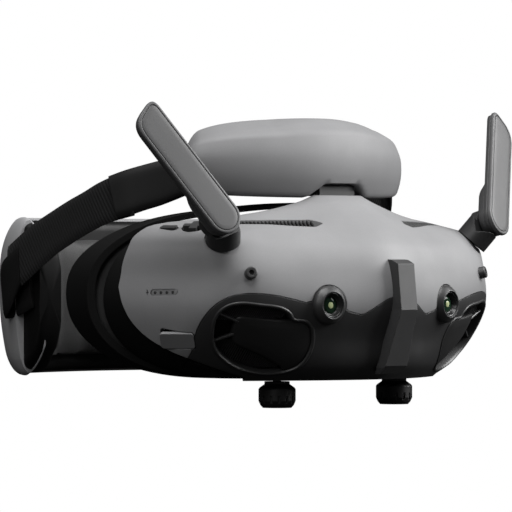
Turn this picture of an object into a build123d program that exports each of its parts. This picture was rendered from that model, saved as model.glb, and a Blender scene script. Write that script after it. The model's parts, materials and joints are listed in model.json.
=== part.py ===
from build123d import *
import os

os.makedirs("parts", exist_ok=True)

# FPV goggles with a rigid headband, in millimetres. +X is the wearer's left, +Y runs from the front
# cameras to the back of the head, +Z is up. The origin is the middle of the plan at the height of
# the two focus knobs' flat bottoms, which the goggles stand on.

# --- driving dimensions -------------------------------------------------------------------------
EYE_SPACING = 64.0          # between the two eyepieces, and between the two front cameras
EYE_X = EYE_SPACING / 2
EYE_Z = 38.7                # height of eyepieces and cameras
SPACING_TRAVEL = 4.0        # each eyepiece slides this far either way: 56 to 72 between the eyes
WALL = 2.4                  # thickness of the moulded covers
FRONT_Y = -91.0             # most forward point, on the centre bar
BACK_Y = -FRONT_Y           # most rearward point, on the battery box
RUN_GAP = 0.3               # clearance between pieces that move past each other
FIT_GAP = 0.05              # radial clearance of a shaft in its bore

# The rear edges of cover, housing and light shield are arcs about one upright axis.
REAR_AXIS_Y = 76.6
COVER_REAR_R = 130.3
HOUSING_REAR_R = 121.0
LENS_BOARD_R = 126.0
LENS_BOARD_THICKNESS = 2.5
FACE_AXIS_Y = 68.0          # the shield's face side is an arc about this axis
FACE_R = 108.0

# --- antenna geometry ---------------------------------------------------------------------------
ANTENNA_FOOT = (69.3, -61.7, 65.2)      # where the base meets the cover, wearer's left side
ANTENNA_AXIS = (0.455, -0.455, 0.766)   # the base's own axis, square to the cover there
PADDLE_PIVOT = (75.3, -68.6, 72.0)      # the fold axis at the paddle's front face
PADDLE_NORMAL = (0.237, -0.921, 0.31)   # the paddle's front face looks this way
PADDLE_UP = (0.473, 0.387, 0.79)        # along the paddle, from pivot to tip
PADDLE_WIDTH = 13.9
PADDLE_FRONT = 1.7
PADDLE_BACK = 2.1
BOSS_DEPTH = 2.6

# --- forehead pad -------------------------------------------------------------------------------
PAD_AXIS_Y = 25.0           # the pad is a band turned about this upright axis
PAD_HALF_ANGLE = 47.0
PAD_BOTTOM = 78.5
PAD_TOP = 109.7
HINGE_Y = -49.3
HINGE_Z = 81.2
HINGE_PIN_R = 1.5

# --- battery box --------------------------------------------------------------------------------
BOX_MID_Y = 38.0            # its plan is half an ellipse standing on this line
BOX_HALF_WIDTH = 77.0
BOX_DEPTH = BACK_Y - BOX_MID_Y
BOX_BOTTOM = 11.0
BOX_TOP = 72.0



def write(piece, node):
    """Label one finished piece and write it."""
    piece.label = node
    export_step(piece, f"parts/{node}.step")


# --- the outer form of the front body ------------------------------------------------------------
# Half outlines at rising heights, from the middle of the front round to the side.
FORM_LEVELS = (
    (10.4, ((0, -74), (20, -71), (40, -62), (58, -50), (70, -36), (74, -22))),
    (16.0, ((0, -80), (20, -77), (40, -69), (60, -57), (74, -42), (79, -22))),
    (26.0, ((0, -83), (20, -79.5), (40, -74), (62, -64), (77, -50), (83, -22))),
    (38.0, ((0, -86.5), (20, -83), (40, -78), (62.7, -69.7), (78, -56), (85.5, -22))),
    (50.0, ((0, -86), (20, -82), (40, -77), (62.7, -69.7), (76, -57), (84.5, -22))),
    (60.0, ((0, -82), (20, -78.5), (40, -73), (60, -66), (73, -57), (81, -26))),
    (66.0, ((0, -77), (20, -72), (40, -65), (58, -60), (68, -54), (76, -31))),
    (72.0, ((0, -69), (12, -67), (24, -60), (36, -53), (42, -49), (46, -45))),
    (77.0, ((0, -61.5), (5, -61.2), (10, -60), (15, -57.5), (20, -54), (23, -50))),
    (80.0, ((0, -56.5), (3, -56.4), (6, -56.1), (9, -55.5), (12, -54.2), (13.5, -52))),
)
FORM_BACK_Y = -8.0


def form(inset):
    """The body's outer form, or the same form drawn in by a wall."""
    low = FORM_LEVELS[0][0]
    high = FORM_LEVELS[-1][0]
    with BuildPart() as solid:
        for height, half in FORM_LEVELS:
            share = (height - low) / (high - low)
            level = height + inset * (1 - 2 * share)
            squeeze = 1 - inset / 85
            right = [(x * squeeze, y + inset) for x, y in half]
            left = [(-x, y) for x, y in reversed(right[1:])]
            with BuildSketch(Plane.XY.offset(level)):
                with BuildLine():
                    Spline(*left, *right)
                    Polyline(right[-1], (right[-1][0], FORM_BACK_Y), (left[0][0], FORM_BACK_Y), left[0])
                make_face()
        loft()
    return solid.part


def upright_cylinder(radius, axis_y):
    """A tall cylinder about an upright axis on the middle plane."""
    return Pos(0, axis_y, 45) * Cylinder(radius, 120)


def front_block(half, wall, near_y, far_y):
    """A smooth outline in the front view, drawn in by a wall, run from near_y back to far_y."""
    high = half[0][1]
    low = min(z for _, z in half)
    mid = (high + low) / 2
    wide = 1 - wall / max(x for x, _ in half)
    tall = 1 - wall / (high - mid)
    points = [(x * wide, mid + (z - mid) * tall) for x, z in half]
    with BuildPart() as solid:
        with BuildSketch(Plane.XZ.offset(-near_y)):
            with BuildLine():
                right = Spline(*points, tangents=((1, 0), (-1, 0)))
                mirror(right, about=Plane.YZ)
            make_face()
        extrude(amount=near_y - far_y)
    return solid.part


OUTER = form(0)
INNER = form(WALL)
COVER_CUT = upright_cylinder(COVER_REAR_R, REAR_AXIS_Y)

# The covers' lower rear corners sweep forward, and the rear housing fills them.
with BuildPart() as corner_cut:
    for sign in (1, -1):
        with BuildSketch(Plane.YZ.offset(sign * 52)):
            with BuildLine():
                Spline((-20, 48), (-26.5, 34), (-32, 27), (-42, 20.5), (-50, 14), (-54, 8))
                Polyline((-54, 8), (-5, 8), (-5, 48), (-20, 48))
            make_face()
        extrude(amount=sign * 40)

SHELL = OUTER - INNER - COVER_CUT - corner_cut.part
SOLID_FRONT = OUTER - COVER_CUT - corner_cut.part

# The seam between the grey upper and the black lower cover, as half of the front view.
CAMERA_HOOD_R = 8.3
SEAM_VALLEY = ((0, 42.5), (6.9, 40.8), (16.8, 35.0), (24.2, 36.6))
SEAM_SIDE = ((40.6, 39.6), (47, 41), (55, 42.6), (63.6, 43.2), (70, 42), (74.2, 38.5), (76, 33), (75.6, 27),
             (73.5, 19), (72.5, 4))
HOOD_TOP = (EYE_X, EYE_Z + 9.0)
with BuildPart() as below_seam:
    with BuildSketch(Plane.XZ.offset(20)):
        with BuildLine():
            Polyline(*SEAM_VALLEY)
            ThreePointArc(SEAM_VALLEY[-1], HOOD_TOP, SEAM_SIDE[0])
            Spline(*SEAM_SIDE)
            Line(SEAM_SIDE[-1], (0, SEAM_SIDE[-1][1]))
            Line((0, SEAM_SIDE[-1][1]), SEAM_VALLEY[0])
        make_face()
        mirror(about=Plane.YZ)
    extrude(amount=90)

# --- places on the covers -----------------------------------------------------------------------
def surface_plane(origin, direction, offset=0.0):
    """A plane on the outer form where a line from outside first meets it, looking outwards."""
    start = Vector(*origin)
    way = Vector(*direction).normalized()
    hits = SOLID_FRONT.find_intersection_points(Axis(start, way))
    point = min((hit[0] for hit in hits), key=lambda place: (place - start).dot(way))
    near = [hit for hit in hits if (hit[0] - point).length < 0.01]
    normal = near[0][1].normalized()
    if normal.dot(way) > 0:
        normal = normal * -1
    level = Vector(0, 0, 1).cross(normal).normalized()
    return Plane(origin=point + normal * offset, x_dir=level, z_dir=normal)


VENT_CENTRE = (57.0, -69.5, 27.5)
VENT_NORMAL = (0.50, -0.80, -0.33)
VENT_ALONG = (0.85, 0.52, 0.0)
VENT_PLANE = Plane(origin=VENT_CENTRE, x_dir=VENT_ALONG, z_dir=VENT_NORMAL)
VENT_OUTLINE = (
    (19.5, -3), (17.5, 4.5), (12.5, 10), (3, 11.3), (-7, 9), (-13, 4),
    (-12.5, -10), (-4, -15.5), (8, -14.5), (16, -10.5),
)
BLADE_OUTLINE = (
    (8.9, 7.0), (-4, 6.2), (-15, 3.0), (-20.5, -3), (-18, -11), (-10, -15), (2, -12), (9, -8),
)
GRILLE_DEPTH = 5.5
GRILLE_THICKNESS = 1.2

CAMERA_PLANE = Plane(origin=(EYE_X, -84.6, EYE_Z), x_dir=(1, 0.07, 0), z_dir=(0.07, -1, 0))
CAMERA_BEZEL_R = 5.2
CAMERA_SEAT_R = 5.95
CAMERA_GLASS_R = 4.2

SCREW_PLANE = surface_plane((62.9, -140, 50.4), (0, 1, 0))
SCREW_HEAD_R = 2.3

NAV_PLANE = surface_plane((-69.0, -46.5, 140), (0, 0, -1))
NAV_WELL_R = 5.0
BACK_BUTTON_PLANE = surface_plane((-73.5, -37.5, 140), (0, 0, -1))
LED_PLANE = surface_plane((-140, -43.5, 44.0), (1, 0, 0))
POWER_PLANE = surface_plane((140, -43.5, 44.0), (-1, 0, 0))
PORT_PLANE = surface_plane((-140, -47.0, 25.5), (1, 0, 0))
JACK_PLANE = surface_plane((140, -44.0, 26.0), (-1, 0, 0))

JACK_R = 1.75
JACK_DEPTH = 14.0
LED_LENGTH = 12.0
LED_HEIGHT = 2.4
PORT_LENGTH = 13.0
PORT_HEIGHT = 6.5

ANTENNA_PLANE = Plane(origin=ANTENNA_FOOT, z_dir=ANTENNA_AXIS)
ANTENNA_BASE_R = 6.5
ANTENNA_CUP_DEPTH = 3.6

KNOB_Y = -52.8
STEM_R = 1.6


def paddle_plane(offset=0.0):
    """The front face of the wearer's left antenna; y runs along it, x outwards across it."""
    normal = Vector(*PADDLE_NORMAL).normalized()
    up = Vector(*PADDLE_UP)
    up = (up - normal * up.dot(normal)).normalized()
    return Plane(origin=Vector(*PADDLE_PIVOT) + normal * offset, x_dir=up.cross(normal), z_dir=normal)


def write_pair(piece, node):
    """Write the wearer's left piece and its mirror image on the right."""
    right = mirror(piece, about=Plane.YZ)
    write(piece, f"{node}_left")
    write(right, f"{node}_right")


def write_twins(piece, node):
    """Write a piece and its mirror image as one node of two solids."""
    write(Compound(children=[piece, mirror(piece, about=Plane.YZ)]), node)


def vent_prism(points, low, high):
    """A prism through the cover with one of the side vent's outlines."""
    with BuildPart() as prism:
        with BuildSketch(VENT_PLANE.offset(low)):
            with BuildLine():
                Spline(*points, periodic=True)
            make_face()
        extrude(amount=high - low)
    return prism.part


def shrunk(points, share):
    """An outline drawn in towards its middle."""
    return [(x * share, y * share) for x, y in points]


# --- cutters for what sits in the covers ----------------------------------------------------------
VENT_HOLE = vent_prism(VENT_OUTLINE, -14, 12)
BLADE_PRISM = vent_prism(BLADE_OUTLINE, -4.6, 12)

with BuildPart() as camera_hood:
    with BuildSketch(CAMERA_PLANE.offset(-6)):
        Circle(CAMERA_HOOD_R)
    with BuildSketch(CAMERA_PLANE.offset(-1.0)):
        Circle(6.4)
    loft()

with BuildPart() as camera_seat:
    with BuildSketch(CAMERA_PLANE.offset(-12)):
        Circle(CAMERA_SEAT_R)
    extrude(amount=20)

with BuildPart() as screw_hole:
    with BuildSketch(SCREW_PLANE.offset(-6)):
        Circle(SCREW_HEAD_R)
    extrude(amount=12)

with BuildPart() as antenna_collar:
    with BuildSketch(ANTENNA_PLANE.offset(-5.2)):
        Circle(7.6)
    extrude(amount=4.4)

with BuildPart() as antenna_well:
    with BuildSketch(ANTENNA_PLANE.offset(-ANTENNA_CUP_DEPTH)):
        Circle(ANTENNA_BASE_R + RUN_GAP)
    extrude(amount=20)

with BuildPart() as top_vent_cut:
    with BuildSketch(Plane.XY.offset(58)):
        with BuildLine():
            Polyline((22.5, -65.5), (27, -65.0), (57, -51.0), (58, -48.6), (55, -48.8), (25.5, -62.5), close=True)
        make_face()
    extrude(amount=25)

with BuildPart() as nav_well:
    with BuildSketch(NAV_PLANE.offset(-7)):
        Circle(NAV_WELL_R)
    extrude(amount=14)

with BuildPart() as back_button_well:
    with BuildSketch(BACK_BUTTON_PLANE.offset(-6)):
        SlotOverall(8.2, 3.4, rotation=0)
    extrude(amount=12)

with BuildPart() as led_pocket:
    with BuildSketch(LED_PLANE.offset(-6)):
        SlotOverall(LED_LENGTH, LED_HEIGHT)
    extrude(amount=12)

with BuildPart() as power_well:
    with BuildSketch(POWER_PLANE.offset(-6)):
        SlotOverall(9.0, 4.4)
    extrude(amount=12)

with BuildPart() as port_recess:
    with BuildSketch(PORT_PLANE.offset(-5)):
        RectangleRounded(PORT_LENGTH + 0.7, PORT_HEIGHT + 0.6, 1.2)
    extrude(amount=12)

with BuildPart() as jack_hole:
    with BuildSketch(JACK_PLANE.offset(-20)):
        Circle(3.0)
    extrude(amount=24)

with BuildPart() as stem_slot:
    with BuildSketch(Plane.XY.offset(6)):
        with Locations((EYE_X, KNOB_Y)):
            SlotOverall(2 * (SPACING_TRAVEL + STEM_R + RUN_GAP) + 1.0, 2 * STEM_R + 2 * RUN_GAP)
    extrude(amount=10)

PAIRED_CUTS = (VENT_HOLE, BLADE_PRISM, camera_seat.part, screw_hole.part, antenna_well.part,
               top_vent_cut.part, stem_slot.part)
SINGLE_CUTS = (nav_well.part, back_button_well.part, led_pocket.part, power_well.part, port_recess.part,
               jack_hole.part)


def cut_cover(cover):
    """Open a cover for everything that sits in it."""
    for cutter in PAIRED_CUTS:
        cover = cover - cutter - mirror(cutter, about=Plane.YZ)
    for cutter in SINGLE_CUTS:
        cover = cover - cutter
    return cover


def biggest(shape):
    """The largest solid of a shape, without crumbs that a cut leaves."""
    return max(shape.solids(), key=lambda solid: solid.volume)


upper = SHELL - below_seam.part
for collar in (antenna_collar.part, mirror(antenna_collar.part, about=Plane.YZ)):
    upper = upper + collar
for hood in (camera_hood.part, mirror(camera_hood.part, about=Plane.YZ)):
    upper = upper - hood
write(biggest(cut_cover(upper)), "front_cover_upper")

lower = SHELL & below_seam.part
for hood in (camera_hood.part, mirror(camera_hood.part, about=Plane.YZ)):
    lower = lower + (hood - INNER)
write(biggest(cut_cover(lower)), "front_cover_lower")

# --- centre bar ---------------------------------------------------------------------------------
with BuildPart() as centre_bar:
    with BuildSketch(Plane.YZ.offset(-8)):
        Polygon((-76, 56.2), (-86.0, 55.6), (-89.2, 54.1), (FRONT_Y, 36.8), (-84.2, 15.7), (-81.0, 12.6),
                (-70, 12.6), align=None)
    extrude(amount=16)
    with BuildSketch(Plane.XZ.offset(60)):
        Polygon((-4.4, 57), (4.4, 57), (4.4, 37), (5.95, 15), (5.2, 11), (-5.2, 11), (-5.95, 15), (-4.4, 37),
                align=None)
    extrude(amount=40, mode=Mode.INTERSECT)
write(biggest(centre_bar.part - OUTER), "centre_bar")

# --- rear housing: a ring behind the covers, with the board that the lenses look through ----------
HOUSING_HALF = ((0, 75.5), (14, 75.2), (30, 73.6), (46, 71.2), (62, 68.6), (76, 61), (82.5, 46), (81.5, 32),
                (74, 20), (60, 13.4), (40, 11.4), (20, 11.2), (0, 11.2))
HOUSING_WALL = 3.0
housing_block = front_block(HOUSING_HALF, 0, -62, 4)
housing_hollow = front_block(HOUSING_HALF, HOUSING_WALL, -62, 4)
behind_board = upright_cylinder(LENS_BOARD_R - LENS_BOARD_THICKNESS, REAR_AXIS_Y)
behind_housing = upright_cylinder(HOUSING_REAR_R, REAR_AXIS_Y)

with BuildPart() as lens_openings:
    for sign in (1, -1):
        with BuildSketch(Plane.XZ.offset(70)):
            with Locations((sign * EYE_X, EYE_Z)):
                SlotOverall(41.0, 33.0)
        extrude(amount=-60)

ring = ((housing_block - SOLID_FRONT) - behind_housing) - housing_hollow
lens_board = (housing_hollow & upright_cylinder(LENS_BOARD_R, REAR_AXIS_Y)) - behind_board
write(biggest(ring + (lens_board - lens_openings.part)), "rear_housing")

# --- light shield and face foam -----------------------------------------------------------------
SHIELD_HALF = ((0, 77.4), (14, 77.2), (30, 76.4), (46, 74.6), (62, 71.8), (76, 65.5), (85, 55), (87.2, 43),
               (84.5, 29), (76, 18.5), (62, 12.6), (40, 10.8), (26, 12.0), (15, 19), (7, 26), (0, 28.5))
SHIELD_WALL = 2.2
FOAM_DEPTH = 8.0
FOAM_WIDTH = 7.0

face_side = upright_cylinder(FACE_R, FACE_AXIS_Y)
foam_front = upright_cylinder(FACE_R, FACE_AXIS_Y - FOAM_DEPTH)
shield_block = front_block(SHIELD_HALF, 0, -66, 24) & behind_housing
shield_hollow = front_block(SHIELD_HALF, SHIELD_WALL, -66, 24)
foam_hollow = front_block(SHIELD_HALF, SHIELD_WALL + FOAM_WIDTH, -66, 24)
write(biggest((shield_block - face_side) - shield_hollow), "light_shield")
write(biggest((((shield_hollow & foam_front) & behind_housing) - face_side) - foam_hollow), "face_foam")

# --- side vents ---------------------------------------------------------------------------------
rim_inner = vent_prism(shrunk(VENT_OUTLINE, 0.92), -14, 12)
vent_frame = (vent_prism(VENT_OUTLINE, -7, 12) & OUTER) - rim_inner - BLADE_PRISM
write_twins(biggest(vent_frame), "vent_frames")

grille_plate = vent_prism(shrunk(VENT_OUTLINE, 0.92), -GRILLE_DEPTH - GRILLE_THICKNESS, -GRILLE_DEPTH)
with BuildPart() as vent_grille:
    add(grille_plate & OUTER)
    with BuildSketch(VENT_PLANE.offset(-12)):
        with GridLocations(3.0, 3.0, 9, 6):
            RegularPolygon(1.0, 6)
    extrude(amount=10, mode=Mode.SUBTRACT)
write_twins(biggest(vent_grille.part), "vent_grilles")
write_twins(biggest(BLADE_PRISM & OUTER), "vent_blades")

with BuildPart() as top_vent_grille:
    add(top_vent_cut.part)
    add((Pos(0, 0, -0.9) * SOLID_FRONT) - INNER, mode=Mode.INTERSECT)
write_twins(biggest(top_vent_grille.part), "top_vent_grilles")

# --- front cameras ------------------------------------------------------------------------------
with BuildPart() as camera_bezel:
    with BuildSketch(CAMERA_PLANE.offset(-8)):
        Circle(CAMERA_SEAT_R)
    extrude(amount=6.4)
    with BuildSketch(CAMERA_PLANE.offset(-1.6)):
        Circle(CAMERA_SEAT_R)
    with BuildSketch(CAMERA_PLANE):
        Circle(CAMERA_BEZEL_R)
    loft()
    with BuildSketch(CAMERA_PLANE.offset(-8)):
        Circle(CAMERA_GLASS_R)
    extrude(amount=10, mode=Mode.SUBTRACT)
write_twins(camera_bezel.part, "camera_bezels")

with BuildPart() as camera_glass:
    with BuildSketch(CAMERA_PLANE.offset(-3)):
        Circle(CAMERA_GLASS_R)
    extrude(amount=2.2)
    fillet(camera_glass.faces().sort_by(Axis.Y)[0].edges(), 0.8)
write_twins(camera_glass.part, "camera_glasses")

with BuildPart() as camera_module:
    with BuildSketch(CAMERA_PLANE.offset(-12)):
        Circle(CAMERA_GLASS_R - 0.2)
    extrude(amount=9)
write_twins(camera_module.part, "camera_modules")

# --- front screws -------------------------------------------------------------------------------
with BuildPart() as front_screw:
    with BuildSketch(SCREW_PLANE.offset(-5)):
        Circle(SCREW_HEAD_R)
    extrude(amount=7.4)
    chamfer(front_screw.edges().filter_by(GeomType.CIRCLE).sort_by(Axis.Y)[0], 0.35)
    with BuildSketch(SCREW_PLANE.offset(2.6)):
        RegularPolygon(1.1, 6)
    extrude(amount=-1.6, mode=Mode.SUBTRACT)
write_twins(front_screw.part, "front_screws")

# --- status lights, buttons and ports -------------------------------------------------------------
with BuildPart() as led_window:
    with BuildSketch(LED_PLANE.offset(-2.2)):
        SlotOverall(LED_LENGTH, LED_HEIGHT)
    extrude(amount=1.7)
write(led_window.part, "led_window")

NAV_LIFT = 0.9
with BuildPart() as nav_stem:
    with BuildSketch(NAV_PLANE.offset(-6)):
        Circle(1.8)
    extrude(amount=3.0)
write(nav_stem.part, "nav_stem")

with BuildPart() as nav_gimbal:
    with BuildSketch(NAV_PLANE.offset(-2.7)):
        Circle(2.2)
    extrude(amount=0.8)
write(nav_gimbal.part, "nav_gimbal")

with BuildPart() as nav_cap:
    with BuildSketch(NAV_PLANE.offset(-1.6)):
        Rectangle(8.4, 2.8)
        Rectangle(2.8, 8.4)
    extrude(amount=1.6 + NAV_LIFT)
write(nav_cap.part, "nav_cap")

with BuildPart() as back_button:
    with BuildSketch(BACK_BUTTON_PLANE.offset(-2.4)):
        SlotOverall(7.6, 2.8)
    extrude(amount=3.1)
write(back_button.part, "back_button")

with BuildPart() as power_button:
    with BuildSketch(POWER_PLANE.offset(-2.4)):
        SlotOverall(8.4, 3.8)
    extrude(amount=2.9)
write(power_button.part, "power_button")

with BuildPart() as port_cover:
    with BuildSketch(PORT_PLANE.offset(-1.5)):
        RectangleRounded(PORT_LENGTH, PORT_HEIGHT, 1.2)
    extrude(amount=1.6)
write(port_cover.part, "port_cover")

with BuildPart() as usb_socket:
    with BuildSketch(PORT_PLANE.offset(-9)):
        RectangleRounded(9.0, 3.3, 1.5)
    extrude(amount=7)
    with BuildSketch(PORT_PLANE.offset(-7.8)):
        RectangleRounded(8.3, 2.6, 1.2)
    extrude(amount=7, mode=Mode.SUBTRACT)
write(usb_socket.part, "usb_socket")

with BuildPart() as audio_jack:
    with BuildSketch(JACK_PLANE.offset(-16)):
        Circle(3.0)
    extrude(amount=15.6)
    with BuildSketch(JACK_PLANE.offset(-0.4 - JACK_DEPTH)):
        Circle(JACK_R)
    extrude(amount=JACK_DEPTH, mode=Mode.SUBTRACT)
write(audio_jack.part, "audio_jack")

# --- antennas -----------------------------------------------------------------------------------
HALF_PADDLE = PADDLE_WIDTH / 2
TAB_FRONT = PADDLE_FRONT + PADDLE_BACK + BOSS_DEPTH + RUN_GAP
TAB_DEPTH = 3.4
PIN_R = 1.2


def paddle_outline(draw_in=0.0):
    """The paddle's face: round at the pivot, with a slightly slanted tip."""
    half = HALF_PADDLE - draw_in
    with BuildSketch() as face:
        Circle(half)
        Polygon((-half, 0), (half, 0), (half, 46.6 - draw_in), (-half, 50.2 - draw_in), align=None)
        corners = face.vertices().filter_by(lambda corner: corner.Y > 40)
        fillet(corners.sort_by(Axis.X)[0], 4.2)
        corners = face.vertices().filter_by(lambda corner: corner.X > half - 0.5 and corner.Y > 40)
        fillet(corners.sort_by(Axis.Y)[-1], 6.0)
    return face.sketch


with BuildPart() as paddle_front:
    with BuildSketch(paddle_plane(-PADDLE_FRONT)):
        add(paddle_outline())
    extrude(amount=PADDLE_FRONT)
write_pair(paddle_front.part, "antenna_front")

with BuildPart() as boss_wedge:
    with BuildSketch(Plane.YZ.offset(-20)):
        Polygon((-9, -PADDLE_FRONT - PADDLE_BACK - BOSS_DEPTH), (11, -PADDLE_FRONT - PADDLE_BACK - BOSS_DEPTH),
                (17, -PADDLE_FRONT - PADDLE_BACK), (17, -PADDLE_FRONT), (-9, -PADDLE_FRONT), align=None)
    extrude(amount=40)

with BuildPart() as paddle_back:
    with BuildSketch(Plane.XY.offset(-PADDLE_FRONT - PADDLE_BACK)):
        add(paddle_outline(0.4))
    extrude(amount=PADDLE_BACK)
    with BuildSketch(Plane.XY.offset(-PADDLE_FRONT - PADDLE_BACK - BOSS_DEPTH)):
        Circle(HALF_PADDLE - 0.4)
        with Locations((0, 9)):
            Rectangle(2 * HALF_PADDLE - 0.8, 18)
    extrude(amount=BOSS_DEPTH)
    add(boss_wedge.part, mode=Mode.INTERSECT)
    with BuildSketch(Plane.XY.offset(-PADDLE_FRONT - PADDLE_BACK)):
        add(paddle_outline(0.4))
    extrude(amount=PADDLE_BACK)
    with BuildSketch(Plane.XY.offset(-20)):
        Circle(PIN_R + FIT_GAP)
    extrude(amount=20 - PADDLE_FRONT, mode=Mode.SUBTRACT)
write_pair(paddle_plane().location * paddle_back.part, "antenna_back")

with BuildPart() as paddle_clearance:
    with BuildSketch(paddle_plane(-TAB_FRONT)):
        Circle(HALF_PADDLE + RUN_GAP)
        Polygon((0, 7.2), (1.8, -7.1), (-17.5, -10.6), (-20.0, 4.0), (-10, 18), align=None)
    extrude(amount=30)

foot = Vector(*ANTENNA_FOOT)
tab_plane = paddle_plane(-TAB_FRONT - TAB_DEPTH)
foot_in_tab = tab_plane.to_local_coords(foot)
with BuildPart() as antenna_base:
    with BuildSketch(ANTENNA_PLANE.offset(-ANTENNA_CUP_DEPTH + RUN_GAP)):
        Circle(ANTENNA_BASE_R)
    extrude(amount=ANTENNA_CUP_DEPTH - RUN_GAP + 4.6)
    with BuildSketch(tab_plane) as tab_sketch:
        Circle(5.4)
        with Locations((foot_in_tab.X, foot_in_tab.Y)):
            Circle(5.4)
        make_hull()
    extrude(amount=TAB_DEPTH)
    add(paddle_clearance.part, mode=Mode.SUBTRACT)
    with BuildSketch(tab_plane.offset(-4)):
        Circle(PIN_R)
    extrude(amount=12, mode=Mode.SUBTRACT)
    with BuildSketch(tab_plane):
        Circle(2.4)
    extrude(amount=-8, mode=Mode.SUBTRACT)
tab_keep = ANTENNA_PLANE.offset(-ANTENNA_CUP_DEPTH + RUN_GAP).location * (Pos(0, 0, 12) * Cylinder(12, 24))
write_pair(biggest(antenna_base.part & tab_keep), "antenna_base")

with BuildPart() as antenna_pin:
    with BuildSketch(paddle_plane(-TAB_FRONT - TAB_DEPTH)):
        Circle(PIN_R)
    extrude(amount=TAB_FRONT + TAB_DEPTH - PADDLE_FRONT - RUN_GAP)
    with BuildSketch(paddle_plane(-TAB_FRONT - TAB_DEPTH)):
        Circle(2.2)
    extrude(amount=-0.7)
write_pair(antenna_pin.part, "antenna_pin")

# --- eyepieces: two carriages on rails, each with a display, a lens barrel and a focus knob -------
RAIL_Y = -53.5
RAIL_R = 1.5
TOP_RAIL_Z = 58.6
LOW_RAIL_Z = 19.0
BARREL_R = 15.0
CARRIAGE_R = 17.4
POST_X = 53.8
SHELF_Z = 61.2

with BuildPart() as inner_frame:
    with BuildSketch(Plane.XY.offset(SHELF_Z)):
        Polygon((-40, -66), (40, -66), (57, -58.5), (57, -51.5), (-57, -51.5), (-57, -58.5), align=None)
    extrude(amount=1.4)
    with BuildSketch(Plane.XZ.offset(66)):
        Polygon((-38, 26), (38, 26), (40, SHELF_Z), (-40, SHELF_Z), align=None)
    extrude(amount=-1.4)
    for sign in (1, -1):
        with BuildSketch(Plane.XY.offset(16.4)):
            with Locations((sign * (POST_X + 1.4), RAIL_Y)):
                Rectangle(2.8, 4.0)
        extrude(amount=SHELF_Z - 16.4)
    for height in (TOP_RAIL_Z, LOW_RAIL_Z):
        with BuildSketch(Plane.YZ.offset(-70)):
            with Locations((RAIL_Y, height)):
                Circle(RAIL_R)
        extrude(amount=140, mode=Mode.SUBTRACT)
write(inner_frame.part, "inner_frame")

with BuildPart() as guide_rails:
    for height in (TOP_RAIL_Z, LOW_RAIL_Z):
        with BuildSketch(Plane.YZ.offset(-POST_X - 2.8)):
            with Locations((RAIL_Y, height)):
                Circle(RAIL_R)
        extrude(amount=2 * POST_X + 5.6)
write(guide_rails.part, "guide_rails")

with BuildPart() as carriage:
    with BuildSketch(Plane.XZ.offset(56)):
        with Locations((EYE_X, EYE_Z)):
            Circle(CARRIAGE_R)
        with Locations((EYE_X, TOP_RAIL_Z - 2.6)):
            Rectangle(10, 8)
        with Locations((EYE_X, 18.9)):
            Rectangle(10, 8.2)
        with Locations((EYE_X, EYE_Z)):
            Circle(BARREL_R + 0.1, mode=Mode.SUBTRACT)
    extrude(amount=-5)
    with BuildSketch(Plane.XY.offset(14.8)):
        with Locations((EYE_X, KNOB_Y)):
            Rectangle(10, 6.4)
    extrude(amount=2.3)
    with BuildSketch(Plane.XZ.offset(64)):
        for sign in (1, -1):
            with Locations((EYE_X + sign * 16.3, EYE_Z)):
                Rectangle(2.0, 12)
    extrude(amount=-9)
    for height in (TOP_RAIL_Z, LOW_RAIL_Z):
        with BuildSketch(Plane.YZ.offset(0)):
            with Locations((RAIL_Y, height)):
                Circle(RAIL_R + FIT_GAP)
        extrude(amount=70, mode=Mode.SUBTRACT)
    with BuildSketch(Plane.XY.offset(13)):
        with Locations((EYE_X, KNOB_Y)):
            Circle(STEM_R + FIT_GAP)
    extrude(amount=3.9, mode=Mode.SUBTRACT)
write_pair(carriage.part, "eyepiece_carriage")

with BuildPart() as display:
    with BuildSketch(Plane.XZ.offset(63.6)):
        with Locations((EYE_X, EYE_Z)):
            Rectangle(30.6, 18)
    extrude(amount=-1.8)
write_pair(display.part, "display")

with BuildPart() as lens_barrel:
    with BuildSketch(Plane.XZ.offset(58)):
        with Locations((EYE_X, EYE_Z)):
            Circle(BARREL_R)
            Circle(BARREL_R - 1.4, mode=Mode.SUBTRACT)
    extrude(amount=-20)
write_pair(lens_barrel.part, "lens_barrel")

with BuildPart() as eyepiece_lens:
    with BuildSketch(Plane.XZ.offset(44)):
        with Locations((EYE_X, EYE_Z)):
            Circle(BARREL_R - 1.4)
    extrude(amount=-4)
write_pair(eyepiece_lens.part, "eyepiece_lens")

KNOB_PROFILE = ((0, 0), (5.4, 0), (6.3, 1.0), (7.0, 2.6), (7.0, 7.0), (6.6, 7.6), (4.75, 8.9), (4.75, 9.9),
                (STEM_R, 9.9), (STEM_R, 16.7), (0, 16.7))
GRIP_SLOTS = 14
with BuildPart() as focus_knob:
    with BuildSketch(Plane.XZ):
        Polygon(*KNOB_PROFILE, align=None)
    revolve(axis=Axis.Z)
    with BuildSketch(Plane.XY.offset(0.9)):
        with PolarLocations(7.0, GRIP_SLOTS):
            Rectangle(0.9, 0.9)
    extrude(amount=3.6, mode=Mode.SUBTRACT)
write_pair(Pos(EYE_X, KNOB_Y, 0) * focus_knob.part, "focus_knob")

# --- electronics in the front body ----------------------------------------------------------------
with BuildPart() as main_board:
    with BuildSketch(Plane.XZ.offset(68.6)):
        Rectangle(76, 28, align=(Align.CENTER, Align.MIN))
    extrude(amount=-1.4)
write(Pos(0, 0, 30) * main_board.part, "main_board")

with BuildPart() as heat_sink:
    with BuildSketch(Plane.XZ.offset(70.4)):
        with Locations((0, 44)):
            Rectangle(40, 26)
    extrude(amount=-1.5)
    with BuildSketch(Plane.XZ.offset(73.4)):
        with Locations((0, 44)):
            with GridLocations(3.0, 1, 13, 1):
                Rectangle(0.9, 26)
    extrude(amount=-3.2)
write(heat_sink.part, "heat_sink")

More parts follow.
